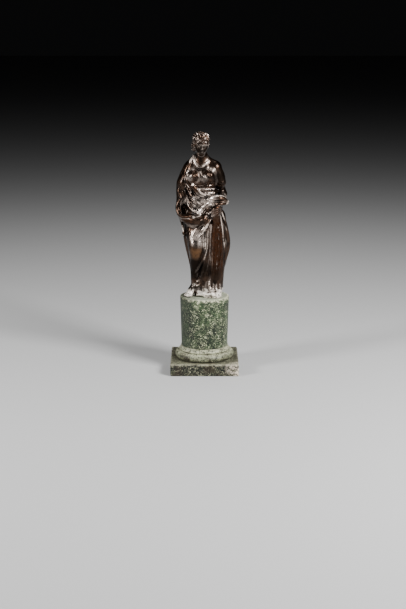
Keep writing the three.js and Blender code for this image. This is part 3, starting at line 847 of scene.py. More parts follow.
# Between its rolls across the waist
fold(seen, [(-14.9, 124.1), (-11.3, 119.6), (-7.2, 114.6), (-2.6, 110.6), (4, 109)], 1.3, 0.9)
fold(
    seen, [(-16.6, 117.6), (-13.2, 112), (-9, 107.6), (-4, 105.6), (3, 105), (9, 104.8)],
    1.0, 1.0, kind="groove",
)
fold(seen, [(-12.9, 107.2), (-9.3, 102.5), (-4.6, 99), (1, 98.4)], 1.5, 1.3)
fold(seen, [(-14.6, 104), (-12.6, 99.5), (-9, 96), (-4, 94.4)], 1.5, 1.2)

# Up from the forearm to the left hand
family(
    seen, 4, [(-4.2, 89.4), (-0.5, 95), (3.6, 98.9), (8, 101)],
    [(0.1, 86.4), (3.2, 89.6), (5.7, 92), (7.2, 94.4)],
    1.4, seed=8,
)
family(
    seen, 3, [(-6.7, 80.4), (-1.5, 84.4), (2.6, 87.8)], [(-3.6, 75.6), (0.5, 80), (5.1, 84.4)],
    1.1, seed=9,
)
family(
    seen, 3, [(-20, 88), (-12, 86), (-4, 87)], [(-21, 82), (-13, 80.4), (-5, 81.6)],
    0.7, ends=(0.3, 0.3), seed=10,
)

# Down from the hand over the thigh
fold(seen, [(5, 86), (0.4, 78), (-4.3, 70.7), (-10.6, 63)], (1.9, 1.2), 1.9, ends=(0.1, 0.45))
fold(seen, [(3.6, 78), (0.8, 73), (-3, 66.4), (-8.6, 60.4)], (1.2, 1.7), 1.6, ends=(0.15, 0.45))
fold(seen, [(1.6, 82.6), (-4, 77.6), (-9.6, 71.6), (-14.6, 63.6)], 1.6, 0.9, ends=(0.2, 0.5))
family(
    seen, 4, [(-14, 77), (-15.4, 67), (-15.4, 55.6)], [(-19.6, 76), (-19.4, 64.5), (-17.6, 51.9)],
    1.1, ends=(0.3, 0.4), seed=12,
)
family(
    seen, 3, [(-3.4, 62), (-3, 55.3), (-4, 46.6)], [(0.2, 66), (0.2, 56.3), (-1.6, 47.6)],
    0.7, ends=(0.4, 0.4), seed=13,
)
family(
    seen, 4, [(-14.6, 44), (-13.4, 34), (-12, 26)], [(-7.6, 42), (-8.4, 34), (-8.6, 26.8)],
    0.7, ends=(0.5, 0.3), seed=14,
)

# The long fall from the left hand, and between the mantle's edges
family(
    seen, 4, [(9.2, 87), (8.8, 71), (8.4, 49.6), (7.4, 34), (6, 17)],
    [(14.2, 87.4), (17, 70.8), (17.6, 49.5), (15.8, 34), (13.6, 17)],
    1.8, share=0.66, sharp=1.6, jitter=0.6, ends=(0.15, 0.2), stagger=0.05, seed=15,
)
family(seen, 3, [(-6, 27), (-5, 19), (-4.6, 12)], [(2, 30), (2.6, 22), (2.6, 16)], 1.0, seed=16)
for height, left, reach in ((22, -13, 4), (16.6, -15, 0), (12, -14.6, -1)):
    start = [(left, height + 2), (-11.4, height), (-8, height - 0.6)]
    end = [(-4.6 - reach / 2, height + 2.2), (-2 - reach, height + 5.4)]
    fold(seen, start + end, (2.2, 0.9), 1.1, sharp=1.0, ends=(0.4, 0.4))

# The left sleeve and its hem
family(
    round_about, 5, [(38, 138), (42, 129), (50, 121)], [(118, 138), (122, 128), (128, 121)],
    0.9, ends=(0.3, 0.5), seed=17,
)
fold(seen, [(12.8, 119.6), (16.6, 119.2), (21.4, 121.8)], 1.2, 1.0, ends=(0.3, 0.3))
fold(seen, [(12.6, 116.6), (16.6, 115.8), (20.6, 117.4)], 1.2, 0.9, ends=(0.3, 0.3))

# The dress over the left shoulder blade and hip, and the mantle down the right arm and side
family(
    round_about, 5, [(128, 140), (134, 130), (140, 121)], [(172, 142), (170, 134), (168, 124)],
    0.9, ends=(0.4, 0.5), seed=20,
)
family(
    round_about, 5, [(96, 116), (100, 106), (108, 96)], [(150, 112), (144, 103), (140, 94)],
    0.9, ends=(0.3, 0.5), seed=23,
)
family(
    round_about, 5, [(58, 96), (74, 86), (88, 74)], [(120, 100), (118, 92), (116, 82)],
    1.2, ends=(0.3, 0.5), seed=24,
)
family(
    round_about, 3, [(58, 68), (60, 45), (64, 8)], [(84, 80), (82, 48), (80, 4)],
    1.6, share=0.5, sharp=1.3, ends=(0.4, 0.1), seed=30,
)
family(
    round_about, 4, [(-108, 130), (-114, 118), (-112, 104)], [(-142, 124), (-138, 112), (-130, 98)],
    0.9, ends=(0.4, 0.4), seed=31,
)
family(
    round_about, 5, [(-60, 136), (-68, 122), (-78, 104)], [(-104, 139), (-104, 122), (-104, 100)],
    1.0, seed=21,
)
family(round_about, 6, [(-64, 72), (-62, 56), (-60, 36)], [(-98, 86), (-96, 58), (-90, 24)], 1.2, seed=22)

# The skirt from the left side round the back, and the mantle over the back
family(
    round_about, 9, [(86, 82), (92, 50), (84, 2)], [(252, 76), (262, 50), (254, 2)],
    2.5, sharp=1.3, jitter=0.9, ends=(0.3, 0.02), stagger=0, seed=18,
)
family(
    round_about, 6, [(106, 56), (101, 30), (95, 2)], [(248, 50), (250, 30), (244, 2)],
    1.8, share=0.3, sharp=1.4, jitter=0.9, ends=(0.6, 0.02), stagger=0, seed=28,
)
fold(
    round_about, [(-108, 87), (-150, 77), (-190, 69.4), (-246, 73)],
    1.4, 1.7, sharp=0.9, ends=(0.1, 0.1),
)
family(
    round_about, 10, [(-112, 141), (-150, 129), (-190, 112), (-236, 104)],
    [(-106, 90), (-150, 80), (-190, 72), (-246, 76)],
    1.8, jitter=0.6, stagger=0.12, seed=19,
)
ridges, grooves = lay_plans()


# The clay with its folds
def wandered(p):
    """Points moved a little sideways, so that no fold runs quite as drawn."""
    x, y, z = p
    shift = 0.5 * np.sin(0.12 * z + 0.21 * x) + 0.16 * np.sin(0.31 * z - 0.27 * y + 2)
    back = 0.4 * np.sin(0.11 * z + 0.24 * y + 1)
    return np.stack([x + shift, y + back, z])


# All round the figure, and the arch that the hem leaves open at the stone
FIGURE_BOX = ((-60, -60, -10), (60, 60, 190))
hem_arch = ball([-4, -9, 0], [5, 5, 1.9])
HEM_FILLET = 0.4


def figure_gap(p):
    """The clay with its folds raised and sunk, flat underneath and open at the hem's arch."""
    moved = wandered(p)
    raised, sunk = np.zeros(p.shape[1]), np.zeros(p.shape[1])
    for strands, heap in ((ridges, raised), (grooves, sunk)):
        for strand in strands:
            strand.lift(moved, heap)
        heap **= 1 / CREST_POWER
    folded = Clay(lambda q: whole_clay.gap(q) - raised + sunk, *FIGURE_BOX)
    return np.maximum(press(HEM_FILLET, folded, hem_arch).gap(p), -p[2])


figure_clay = Clay(figure_gap, *FIGURE_BOX)


# Sculpting: how fine the mesh gets, how it is evened out, and how far round a point its wear is read
COARSE_GRAINS = (0.9, 0.7)
FINE_GRAIN = 0.52
MOST_TRIANGLES = 190000
NECK_LEVEL = 148
ROUGH_SIDES = 14
LEAST_SLOPE = 0.2
SOFTEN_SHARE = 0.5
SOFTEN_ROUNDS = 2
WEAR_REACHES = (1.2, 3.2, -1.4)


def link(name, held):
    made = bpy.data.objects.new(name, held)
    bpy.context.scene.collection.objects.link(made)
    return made


def into_piece(shape, name):
    """A new piece from a shape."""
    mesh = bpy.data.meshes.new(name)
    shape.to_mesh(mesh)
    shape.free()
    return link(name, mesh)


def finished(piece):
    """Works the piece's modifiers into its mesh."""
    shaped = bpy.data.meshes.new_from_object(piece.evaluated_get(bpy.context.evaluated_depsgraph_get()))
    piece.modifiers.clear()
    old, piece.data = piece.data, shaped
    bpy.data.meshes.remove(old)
    shaped.name = piece.name


def remesh(piece, grain):
    modifier = piece.modifiers.new("remesh", "REMESH")
    modifier.mode = "VOXEL"
    modifier.voxel_size = grain * MM
    finished(piece)


def thin_to(piece, triangles):
    piece.data.calc_loop_triangles()
    share = triangles / len(piece.data.loop_triangles)
    if share < 1:
        modifier = piece.modifiers.new("thin", "DECIMATE")
        modifier.ratio = share
        finished(piece)


def rows_of(collection, key):
    flat = np.empty(len(collection) * 3, np.float32)
    collection.foreach_get(key, flat)
    return flat.reshape(-1, 3).astype(float)


def spots_of(mesh):
    return rows_of(mesh.vertices, "co") / MM - [0, 0, FOOT_LEVEL]


def press_on(mesh, clay, rounds, furthest):
    """Moves a mesh's points on to the skin of the clay."""
    spots = spots_of(mesh)
    spots[:, 2] = np.maximum(spots[:, 2], 0)
    for _ in range(rounds):
        gap, ways = slope(clay, spots)
        ways /= np.maximum((ways * ways).sum(1), LEAST_SLOPE)[:, None]
        for again in range(2):
            steps = -gap[:, None] * ways
            size = np.linalg.norm(steps, axis=1, keepdims=True)
            spots += steps * np.minimum(1, furthest / np.maximum(size, 1e-9))
            if not again:
                gap = gap_of(clay, spots)
    mesh.vertices.foreach_set("co", ((spots + [0, 0, FOOT_LEVEL]) * MM).astype(np.float32).ravel())
    mesh.update()


def soften(piece, below):
    """Evens out the skin below a height, where folds meet in creases."""
    heights = spots_of(piece.data)[:, 2]
    group = piece.vertex_groups.new(name="cloth")
    group.add(np.flatnonzero(heights < below).tolist(), 1, "REPLACE")
    modifier = piece.modifiers.new("soften", "SMOOTH")
    modifier.factor = SOFTEN_SHARE
    modifier.iterations = SOFTEN_ROUNDS
    modifier.vertex_group = group.name
    finished(piece)


def store(mesh, name, values):
    held = mesh.attributes.new(name, "FLOAT", "POINT")
    held.data.foreach_set("value", np.clip(values, 0, 1).astype(np.float32))


def note_wear(mesh, clay):
    """Keeps how open each point lies, and how far it stands proud, for the bronze's colours."""
    spots, out = spots_of(mesh), rows_of(mesh.vertex_normals, "vector")
    near, far, within = (gap_of(clay, spots + reach * out) / reach for reach in WEAR_REACHES)
    store(mesh, "open", 0.5 * near + 0.5 * far)
    store(mesh, "proud", 1 - within)


def clay_parts(clay):
    """The simple volumes that a clay is made of."""
    if hasattr(clay, "parts"):
        return [simple for part in clay.parts for simple in clay_parts(part)]
    return [clay] if clay.knots else []


def add_rough(shape, clay, place):
    """A ball, or a limb's balls and the cones between them."""
    if clay.radii is not None:
        sized = place @ Matrix.Translation(clay.knots[0]) @ Matrix.Diagonal((*clay.radii, 1))
        bmesh.ops.create_icosphere(shape, subdivisions=3, radius=1, matrix=sized)
        return
    for knot in clay.knots:
        at = place @ Matrix.Translation(knot[:3])
        bmesh.ops.create_icosphere(shape, subdivisions=2, radius=knot[3], matrix=at)
    for start, end in zip(clay.knots[:-1], clay.knots[1:]):
        way = Vector(end[:3] - start[:3])
        turn = way.to_track_quat("Z", "Y").to_matrix().to_4x4()
        bmesh.ops.create_cone(
            shape,
            cap_ends=True,
            segments=ROUGH_SIDES,
            radius1=start[3],
            radius2=end[3],
            depth=way.length,
            matrix=place @ Matrix.Translation((start[:3] + end[:3]) / 2) @ turn,
        )


def maquette(name):
    shape = bmesh.new()
    whole = Matrix.Scale(MM, 4) @ Matrix.Translation((0, 0, FOOT_LEVEL))
    for clay in clay_parts(dressed):
        add_rough(shape, clay, whole)
    for clay in [*clay_parts(face), *clay_parts(hair_bulk)]:
        add_rough(shape, clay, whole @ Matrix(head_frame.tolist()))
    return into_piece(shape, name)


def sculpt_figure():
    figure = maquette("bronze_woman")
    for grain in COARSE_GRAINS:
        remesh(figure, grain)
        press_on(figure.data, figure_clay, rounds=2, furthest=0.9)
    remesh(figure, FINE_GRAIN)
    press_on(figure.data, figure_clay, rounds=2, furthest=0.5)
    thin_to(figure, MOST_TRIANGLES)
    press_on(figure.data, figure_clay, rounds=1, furthest=0.2)
    soften(figure, NECK_LEVEL)
    note_wear(figure.data, figure_clay)
    figure.data.shade_smooth()
    return figure


woman = sculpt_figure()

# The two stones
ROUND_STEPS = 240
WELD = 0.001
CHIP_SEED = 11
PEBBLE_LUMPS = 7
PEBBLE_WAVE = 2.6
PEBBLE_ROUGHNESS = 0.05
CRISP_ANGLE = math.radians(35)
PLINTH_BEVEL = 0.8

# How far the nicks reach from the rim, their depth, the share of the rim they take, and their drop
NICK_REACH = 2.6
NICK_DEPTH = 0.9
NICK_SHARE = 0.25
NICK_DROP = 0.8


def turned(profile, name):
    """A solid of revolution from its profile of (radius, height)."""
    shape = bmesh.new()
    ring = [shape.verts.new((radius * MM, 0, height * MM)) for radius, height in profile]
    edges = [shape.edges.new(pair) for pair in zip(ring, ring[1:])]
    bmesh.ops.spin(
        shape,
        geom=ring + edges,
        cent=(0, 0, 0),
        axis=(0, 0, 1),
        angle=2 * math.pi,
        steps=ROUND_STEPS,
        use_merge=True,
    )
    bmesh.ops.remove_doubles(shape, verts=shape.verts, dist=WELD * MM)
    bmesh.ops.recalc_face_normals(shape, faces=shape.faces)
    return into_piece(shape, name)


def arc(centre, radius, start, end, steps):
    """Points of a profile's curve, by its angles from straight out."""
    turns = np.radians(np.linspace(start, end, steps))
    return [(centre[0] + radius * math.cos(t), centre[1] + radius * math.sin(t)) for t in turns]


def chipping_tool(rng, centre, sizes):
    """A rough pebble that is taken out of the stone."""
    shape = bmesh.new()
    bmesh.ops.create_icosphere(shape, subdivisions=3, radius=1)
    lumps = rng.normal(size=(PEBBLE_LUMPS, 3))
    for vert in shape.verts:
        swell = sum(math.sin(PEBBLE_WAVE * vert.co.dot(Vector(lump))) for lump in lumps)
        vert.co = vert.co * (1 + PEBBLE_ROUGHNESS * swell)
    bmesh.ops.scale(shape, vec=Vector(sizes) * MM, verts=shape.verts)
    turn = Matrix.Rotation(rng.random() * 6, 3, "Z")
    if sizes[0] == sizes[1]:
        bmesh.ops.rotate(shape, matrix=turn, verts=shape.verts)
    bmesh.ops.translate(shape, vec=Vector(centre) * MM, verts=shape.verts)
    return into_piece(shape, "chipping_tool")


def cut_with(piece, tools, operation="DIFFERENCE"):
    for tool in tools:
        modifier = piece.modifiers.new("cut", "BOOLEAN")
        modifier.operation = operation
        modifier.solver = "EXACT"
        modifier.object = tool
    finished(piece)
    for tool in tools:
        bpy.data.objects.remove(tool)


def rim_spot(degrees, radius, height):
    turn = math.radians(degrees)
    return (radius * math.sin(turn), -radius * math.cos(turn), height)


def crisp(piece):
    """Smooth shading, but for the sharper edges."""
    shape = bmesh.new()
    shape.from_mesh(piece.data)
    for facet in shape.faces:
        facet.smooth = True
    for edge in shape.edges:
        edge.smooth = len(edge.link_faces) == 2 and edge.calc_face_angle(0) < CRISP_ANGLE
    shape.to_mesh(piece.data)
    shape.free()


def nick_rim(piece, radius, height, waves):
    """Small losses along a rim, deeper in some places than others."""
    shape = bmesh.new()
    shape.from_mesh(piece.data)
    for vert in shape.verts:
        away = math.hypot(vert.co.x, vert.co.y) / MM
        near = 1 - math.hypot(away - radius, vert.co.z / MM - height) / NICK_REACH
        if near > 0:
            turn = math.atan2(vert.co.x, -vert.co.y)
            rough = sum(math.sin(k * turn + phase) for k, phase in waves) / len(waves)
            loss = NICK_DEPTH * near * max(0, rough + NICK_SHARE)
            vert.co.x *= 1 - loss / away
            vert.co.y *= 1 - loss / away
            vert.co.z -= NICK_DROP * loss * MM
    shape.to_mesh(piece.data)
    shape.free()


# The drum's rounded rim, the band at its foot, and the plain side between them
DRUM_RIM = 1.3
DRUM_BAND = 2
DRUM_SIDE = DRUM_HEIGHT - 3.4
DRUM_SWELL = DRUM_TOP_RADIUS - DRUM_FOOT_RADIUS
# The rim's large chips: degrees from the front, size, and how far out the pebble's centre lies
RIM_CHIPS = (
    (-38, 2.6, 0), (-24, 2.2, 0), (30, 1.8, 0.4), (4, 1.2, 0.6),
    (-62, 1.5, 0.6), (75, 1.4, 0.5), (140, 1.6, 0.6), (-150, 1.8, 0.4),
)
# How many waves of loss go round the rim
RIM_WAVES = (5, 9, 14, 23, 37, 52)


def make_drum():
    foot, top = BASE_HEIGHT, FOOT_LEVEL
    side = [
        (DRUM_FOOT_RADIUS + DRUM_SWELL * t, foot + DRUM_BAND + DRUM_SIDE * t)
        for t in np.linspace(0.1, 1, 10)
    ]
    profile = [
        (0, foot),
        (DRUM_FOOT_RADIUS - 0.4, foot),
        (DRUM_FOOT_RADIUS, foot + 0.5),
        (DRUM_FOOT_RADIUS, foot + DRUM_BAND),
        *side,
        *arc((DRUM_TOP_RADIUS - DRUM_RIM, top - DRUM_RIM), DRUM_RIM, 10, 80, 5),
        (DRUM_TOP_RADIUS - DRUM_RIM - 0.3, top),
        (0, top),
    ]
    drum = turned(profile, "green_drum")
    rng = np.random.default_rng(CHIP_SEED)
    waves = list(zip(RIM_WAVES, rng.random(len(RIM_WAVES)) * 6))
    nick_rim(drum, DRUM_TOP_RADIUS, top, waves)
    tools = [
        chipping_tool(rng, rim_spot(at, DRUM_TOP_RADIUS + out, top), (size, size, 0.75 * size))
        for at, size, out in RIM_CHIPS
    ]
    cut_with(drum, tools)
    crisp(drum)
    return drum


def make_base():
    bulge = TORUS_HEIGHT / 2
    top = PLINTH_HEIGHT + TORUS_HEIGHT
    cove = (FILLET_RADIUS - 0.3, top + 2.2)
    cove_turns = np.linspace(0.3, 1.45, 6)
    profile = [
        (0, PLINTH_HEIGHT - 1),
        (TORUS_RADIUS - bulge, PLINTH_HEIGHT - 1),
        *arc((TORUS_RADIUS - bulge, PLINTH_HEIGHT + bulge), bulge, -90, 90, 17),
        (FILLET_RADIUS, top + 0.1),
        (FILLET_RADIUS, top + 1.9),
        cove,
        *[(cove[0] - 1.5 * math.sin(t), cove[1] + 2.8 * (1 - math.cos(t))) for t in cove_turns],
        (25.2, BASE_HEIGHT),
        (0, BASE_HEIGHT),
    ]
    moulding = turned(profile, "moulding")
    shape = bmesh.new()
    bmesh.ops.create_cube(shape, size=1)
    block = (PLINTH_SIDE * MM, PLINTH_SIDE * MM, PLINTH_HEIGHT * MM)
    bmesh.ops.scale(shape, vec=block, verts=shape.verts)
    bmesh.ops.translate(shape, vec=(0, 0, PLINTH_HEIGHT * MM / 2), verts=shape.verts)
    bmesh.ops.bevel(
        shape,
        geom=shape.edges,
        offset=PLINTH_BEVEL * MM,
        segments=3,
        affect="EDGES",
        profile=0.5,
        material=-1,
    )
    base = into_piece(shape, "moulded_base_stone")
    cut_with(base, [moulding], "UNION")
    half, high = PLINTH_SIDE / 2, PLINTH_HEIGHT
    chips = (
        ((half + 1.4, -half - 1, 7), (4.4, 3.6, 5)),
        ((-half - 0.4, -half - 0.4, 0.4), (2.6, 2.6, 2.4)),
        ((half - 9, -half - 0.9, high), (4.5, 1.9, 1.7)),
        ((-half + 12, -half - 0.6, high + 0.3), (3, 1.4, 1.2)),
        ((half + 0.6, -8, high + 0.2), (1.5, 5, 1.5)),
        ((half + 0.6, half + 0.4, high + 0.4), (2.4, 2.4, 2)),
        ((-half - 0.7, half - 9, high), (1.6, 3.4, 1.4)),
        ((-half - 0.6, -half - 0.6, high), (2, 2, 2)),
    )
    rng = np.random.default_rng(CHIP_SEED + 1)
    cut_with(base, [chipping_tool(rng, *chip) for chip in chips])
    crisp(base)
    return base


drum = make_drum()
base = make_base()


# Shaders. Sizes on the surface are in metres, unless a function says millimetres
class Value:
    """A number that changes over a surface; arithmetic on it adds the nodes."""

    def __init__(self, shop, socket):
        self.shop, self.socket = shop, socket

    def math(self, operation, *others):
        return self.shop.node("ShaderNodeMath", {"operation": operation}, self, *others)

    def __add__(self, other):
        return self.math("ADD", other)

    def __mul__(self, other):
        return self.math("MULTIPLY", other)

    def __sub__(self, other):
        return self.math("SUBTRACT", other)

    def __rsub__(self, other):
        return self.shop.node("ShaderNodeMath", {"operation": "SUBTRACT"}, other, self)

    def __pow__(self, other):
        return self.math("POWER", other)

    __radd__ = __add__
    __rmul__ = __mul__

    def at_least(self, other):
        return self.math("MAXIMUM", other)

    def at_most(self, other):
        return self.math("MINIMUM", other)

    def between(self, low, high):
        """0 below low, 1 above high, eased."""
        eased = {"interpolation_type": "SMOOTHSTEP", "clamp": True}
        return self.shop.node("ShaderNodeMapRange", eased, self, low, high, 0, 1)

    def span(self, low, high):
        """As between, with both ends in millimetres."""
        return self.between(low * MM, high * MM)


class Finish:
    """A material whose nodes are added one by one."""

    def __init__(self, name):
        self.material = bpy.data.materials.new(name)
        self.material.use_nodes = True
        self.tree = self.material.node_tree
        self.skin = next(n for n in self.tree.nodes if n.type == "BSDF_PRINCIPLED")
        self.place = self.node("ShaderNodeTexCoord", out="Object")

    def node(self, kind, settings=None, *inputs, out=0, **named):
        """Adds a node: its settings first, then its sockets by order or by name."""
        made = self.tree.nodes.new(kind)
        for key, setting in (settings or {}).items():
            if key == "stops":
                self.set_stops(made.color_ramp, setting)
            else:
                setattr(made, key, setting)
        for socket, given in zip(made.inputs, inputs):
            self.give(socket, given)
        for key, given in named.items():
            self.give(made.inputs[key], given)
        return Value(self, made.outputs[out])

    def give(self, socket, given):
        if isinstance(given, Value):
            self.tree.links.new(given.socket, socket)
        else:
            socket.default_value = (*given, 1) if socket.type == "RGBA" else given

    @staticmethod
    def set_stops(ramp, stops):
        while len(ramp.elements) < len(stops):
            ramp.elements.new(0.5)
        for element, (place, tone) in zip(ramp.elements, stops):
            element.position = place
            element.color = (*tone, 1)

    def noise(self, size, detail=4, rough=0.55, warp=0, place=None, out="Fac"):
        """Noise whose patches are about a size in millimetres."""
        return self.node(
            "ShaderNodeTexNoise",
            {},
            out=out,
            Vector=place or self.place,
            Scale=1 / (size * MM),
            Detail=detail,
            Roughness=rough,
            Distortion=warp,
        )

    def cells(self, size, place=None):
        """How far points lie from scattered ones, about a size in millimetres apart."""
        return self.node(
            "ShaderNodeTexVoronoi",
            {},
            out="Distance",
            Vector=place or self.place,
            Scale=1 / (size * MM),
        )

    def mix(self, share, low, high):
        """One colour passing into another."""
        made = self.tree.nodes.new("ShaderNodeMix")
        made.data_type = "RGBA"
        self.give(made.inputs[0], share)
        self.give(made.inputs[6], low)
        self.give(made.inputs[7], high)
        return Value(self, made.outputs[2])

    def ramp(self, value, *stops):
        return self.node("ShaderNodeValToRGB", {"stops": stops}, value)

    def attribute(self, name):
        return self.node("ShaderNodeAttribute", {"attribute_name": name}, out="Fac")

    def axes(self, vector):
        made = self.tree.nodes.new("ShaderNodeSeparateXYZ")
        self.tree.links.new(vector.socket, made.inputs[0])
        return [Value(self, made.outputs[k]) for k in range(3)]

    def away_from(self, spot):
        """How far points lie from a spot."""
        measured = {"operation": "DISTANCE"}
        return self.node("ShaderNodeVectorMath", measured, self.place, tuple(spot), out="Value")

    def bump(self, height, distance, strength):
        return self.node("ShaderNodeBump", {}, Height=height, Distance=distance * MM, Strength=strength)

    def wear(self, piece):
        piece.data.materials.clear()
        piece.data.materials.append(self.material)

    def set(self, **sockets):
        for name, given in sockets.items():
            self.give(self.skin.inputs[name.replace("_", " ")], given)


def ball_mask(shop, centre, radius, soft):
    """1 inside a ball of a radius, 0 past its soft edge; sizes in millimetres of the figure."""
    away = shop.away_from(Vector(centre) * MM + Vector((0, 0, FOOT_LEVEL * MM)))
    return 1 - away.span(radius, radius + soft)


def ball_masks(shop, first, *others):
    """The masks of several balls added up."""
    return sum((ball_mask(shop, *other) for other in others), ball_mask(shop, *first))


def bronze_finish():
    shop = Finish("brown_bronze")
    is_open, proud = shop.attribute("open"), shop.attribute("proud")
    x, y, z = shop.axes(shop.place)
    up = z - FOOT_LEVEL * MM
    mottle = shop.noise(7, detail=5, rough=0.6)
    blotch = shop.noise(2.6, detail=4, rough=0.6, warp=0.4)
    grain = shop.noise(0.8, detail=4, rough=0.65)
    skin = shop.mix(mottle.between(0.36, 0.64), (0.014, 0.008, 0.005), (0.056, 0.031, 0.019))
    fall = x.span(3, 8) * up.span(20, 36) * (1 - up.span(80, 90))
    fall = fall * (1 - y.span(-6, 2)) * (1 - x.span(17, 21))
    sling = ball_mask(shop, (-15, -11, 82.5), 3.5, 6)
    hand = ball_mask(shop, (12, -21, 94), 4, 4)
    warm = (fall + sling + hand).at_most(1) * blotch.between(0.28, 0.6)
    skin = shop.mix(warm * 0.9, skin, (0.044, 0.015, 0.005))
    # Painted highlights: pale patches where light catches the thigh, the waist, the breasts, the mantle's
    # rolls and the left forearm.
    painted_highlight = ball_masks(
        shop,
        ((-6.5, -18, 64), 4, 8),
        ((5, -15, 105.5), 4, 8),
        ((-15.4, -10, 126.6), 1, 4),
        ((0, -12, 126), 1, 4),
        ((-9, -18, 95), 3, 6),
        ((-8, -17, 105), 3, 6),
        ((20, -8, 105), 4, 5),
    )
    painted_highlight = painted_highlight.at_most(1) * (0.2 + 0.8 * mottle.between(0.42, 0.54))
    skin = shop.mix(painted_highlight * 0.62, skin, (0.80, 0.68, 0.60))
    on_shin = ball_mask(shop, (-10, -11, 31), 9, 6)
    on_sleeve = ball_mask(shop, (17, -1, 126), 6, 5)
    on_face = ball_mask(shop, (-3.4, -12, 155.5), 5.5, 3)
    on_skirt = ball_mask(shop, (9, -16, 27), 6, 7)
    shade = (on_shin + on_sleeve * 0.9 + on_face + on_skirt * 0.6 + sling * 0.45).at_most(1)
    skin = shop.mix(shade * 0.96, skin, (0.008, 0.005, 0.003))
    knee = ball_mask(shop, (-9, -19, 49), 2.5, 7) * (0.3 + 0.7 * blotch.between(0.3, 0.55))
    skin = shop.mix(knee * 0.85, skin, (0.135, 0.066, 0.028))
    # Crests made pale: partly real wear, partly painted highlight; less so low down, in the painted shade
    # and on the hand.
    crest = proud.between(0.08, 0.34) * is_open.between(0.6, 1) * (1 - (shade + hand).at_most(1) * 0.85)
    above = up.span(20, 60) * 0.55 + 0.45
    rub_and_highlight = (crest * (0.3 + 0.7 * blotch.between(0.38, 0.54)) * above).at_most(1)
    skin = shop.mix(rub_and_highlight * 0.92, skin, (0.80, 0.67, 0.58))
    crevice = 1 - is_open.between(0.35, 0.9)
    skin = shop.mix(crevice * 0.9, skin, (0.003, 0.002, 0.002))
    low = 1 - (up - mottle * 24 * MM).span(-7, 0)
    dust = shop.noise(2.1, detail=5, rough=0.7)
    bloom = low * dust.between(0.39, 0.52) * is_open.between(0.6, 0.95)
    skin = shop.mix(bloom * 0.92, skin, (0.84, 0.77, 0.68))
    pits = 1 - shop.cells(1.7).between(0.06, 0.22)
    pits = pits * shop.noise(7).between(0.52, 0.62)
    skin = shop.mix(pits * 0.7, skin, (0.003, 0.002, 0.002))
    height = grain * 0.4 + blotch * 0.8 - pits * 0.6
    shop.set(
        Base_Color=skin,
        Metallic=0.94 - bloom * 0.75 - (rub_and_highlight + painted_highlight * 0.4).at_most(1) * 0.4,
        Roughness=0.24 + crevice * 0.4 + bloom * 0.3 + mottle * 0.14 + shade * 0.2 - painted_highlight * 0.1,
        Normal=shop.bump(height, 0.16, 0.5),
        Coat_Weight=0.12 - (shade + warm).at_most(1) * 0.11,
        Coat_Roughness=0.22,
        Coat_IOR=1.5,
    )
    return shop


# The marbles' clouds, dark, middling and light
DRUM_TONES = ((0.002, 0.006, 0.002), (0.011, 0.025, 0.008), (0.050, 0.080, 0.033))
BASE_TONES = ((0.0015, 0.002, 0.001), (0.005, 0.0065, 0.003), (0.018, 0.022, 0.010))


def stone_ground(shop, dark, mid, light, pale, amount):
    """Green marble: clouds of green, crushed pale crumbs and short thin pale threads."""
    bent = shop.noise(5, detail=5, rough=0.6, out="Color")
    stray = (3 * MM,) * 3
    place = shop.node("ShaderNodeVectorMath", {"operation": "MULTIPLY_ADD"}, bent, stray, shop.place)
    clouds = shop.noise(13, detail=6, rough=0.6, warp=0.5, place=place)
    broken = shop.noise(2.2, detail=6, rough=0.75, place=place)
    ground = shop.ramp(clouds * 0.6 + broken * 0.4, (0.42, dark), (0.5, mid), (0.6, light))
    crowd = 0.35 + 0.65 * shop.noise(6, detail=3).between(0.4, 0.6)
    crumbs = 1 - shop.cells(1.7, place=place).between(0.1, 0.26)
    crumbs = crumbs * shop.noise(3.4, detail=5, rough=0.7).between(0.47, 0.55)
    fine = 1 - shop.cells(0.9, place=place).between(0.18, 0.38)
    fine = fine * shop.noise(2.4, detail=4, rough=0.7).between(0.5, 0.57)
    thread = shop.noise(2.4, detail=3, rough=0.5, warp=0.8) - 0.5
    thread = 1 - ((thread * thread) ** 0.5).between(0.005, 0.022)
    thread = thread * shop.noise(3.6, detail=4, rough=0.7).between(0.48, 0.55)
    flecks = (crumbs + fine + thread).at_most(1) * crowd * amount
    return shop.mix(flecks, ground, pale), clouds, broken, flecks


def drum_finish():
    shop = Finish("green_marble_drum")
    ground, clouds, broken, flecks = stone_ground(shop, *DRUM_TONES, (0.86, 0.88, 0.58), 1)
    x, y, z = shop.axes(shop.place)
    away = (x * x + y * y) ** 0.5
    top = FOOT_LEVEL
    ragged = shop.noise(4.2, detail=6, rough=0.75)
    top_face = z.span(top - 0.6, top - 0.2)
    ground = shop.mix(top_face * (0.55 + 0.35 * broken.between(0.4, 0.6)), ground, (0.36, 0.38, 0.29))
    band = z - ragged * 26 * MM
    rim = away.span(DRUM_TOP_RADIUS - 3.4, DRUM_TOP_RADIUS - 1.2) * band.span(top - 15.8, top - 13.6)
    rim = rim * (0.2 + 0.8 * broken.between(0.46, 0.54))
    ground = shop.mix(rim * 0.9, ground, (0.64, 0.63, 0.44))
    soiled = 1 - (z - ragged * 14 * MM).span(BASE_HEIGHT - 8, BASE_HEIGHT - 6.4)
    soiled = soiled * broken.between(0.42, 0.56)
    ground = shop.mix(soiled * 0.6, ground, (0.44, 0.45, 0.30))
    # Painted shade: the drum's left side darkened.
    ground = shop.mix((1 - x.span(-26, -4)) * 0.75, ground, (0.003, 0.007, 0.003))
    height = clouds * 0.3 + broken * 0.8 + flecks * 0.3 + rim * ragged
    shop.set(
        Base_Color=ground,
        Roughness=0.34 + broken * 0.24 + rim * 0.2,
        Specular_IOR_Level=0.35,
        Normal=shop.bump(height, 0.4, 0.5),
    )
    return shop


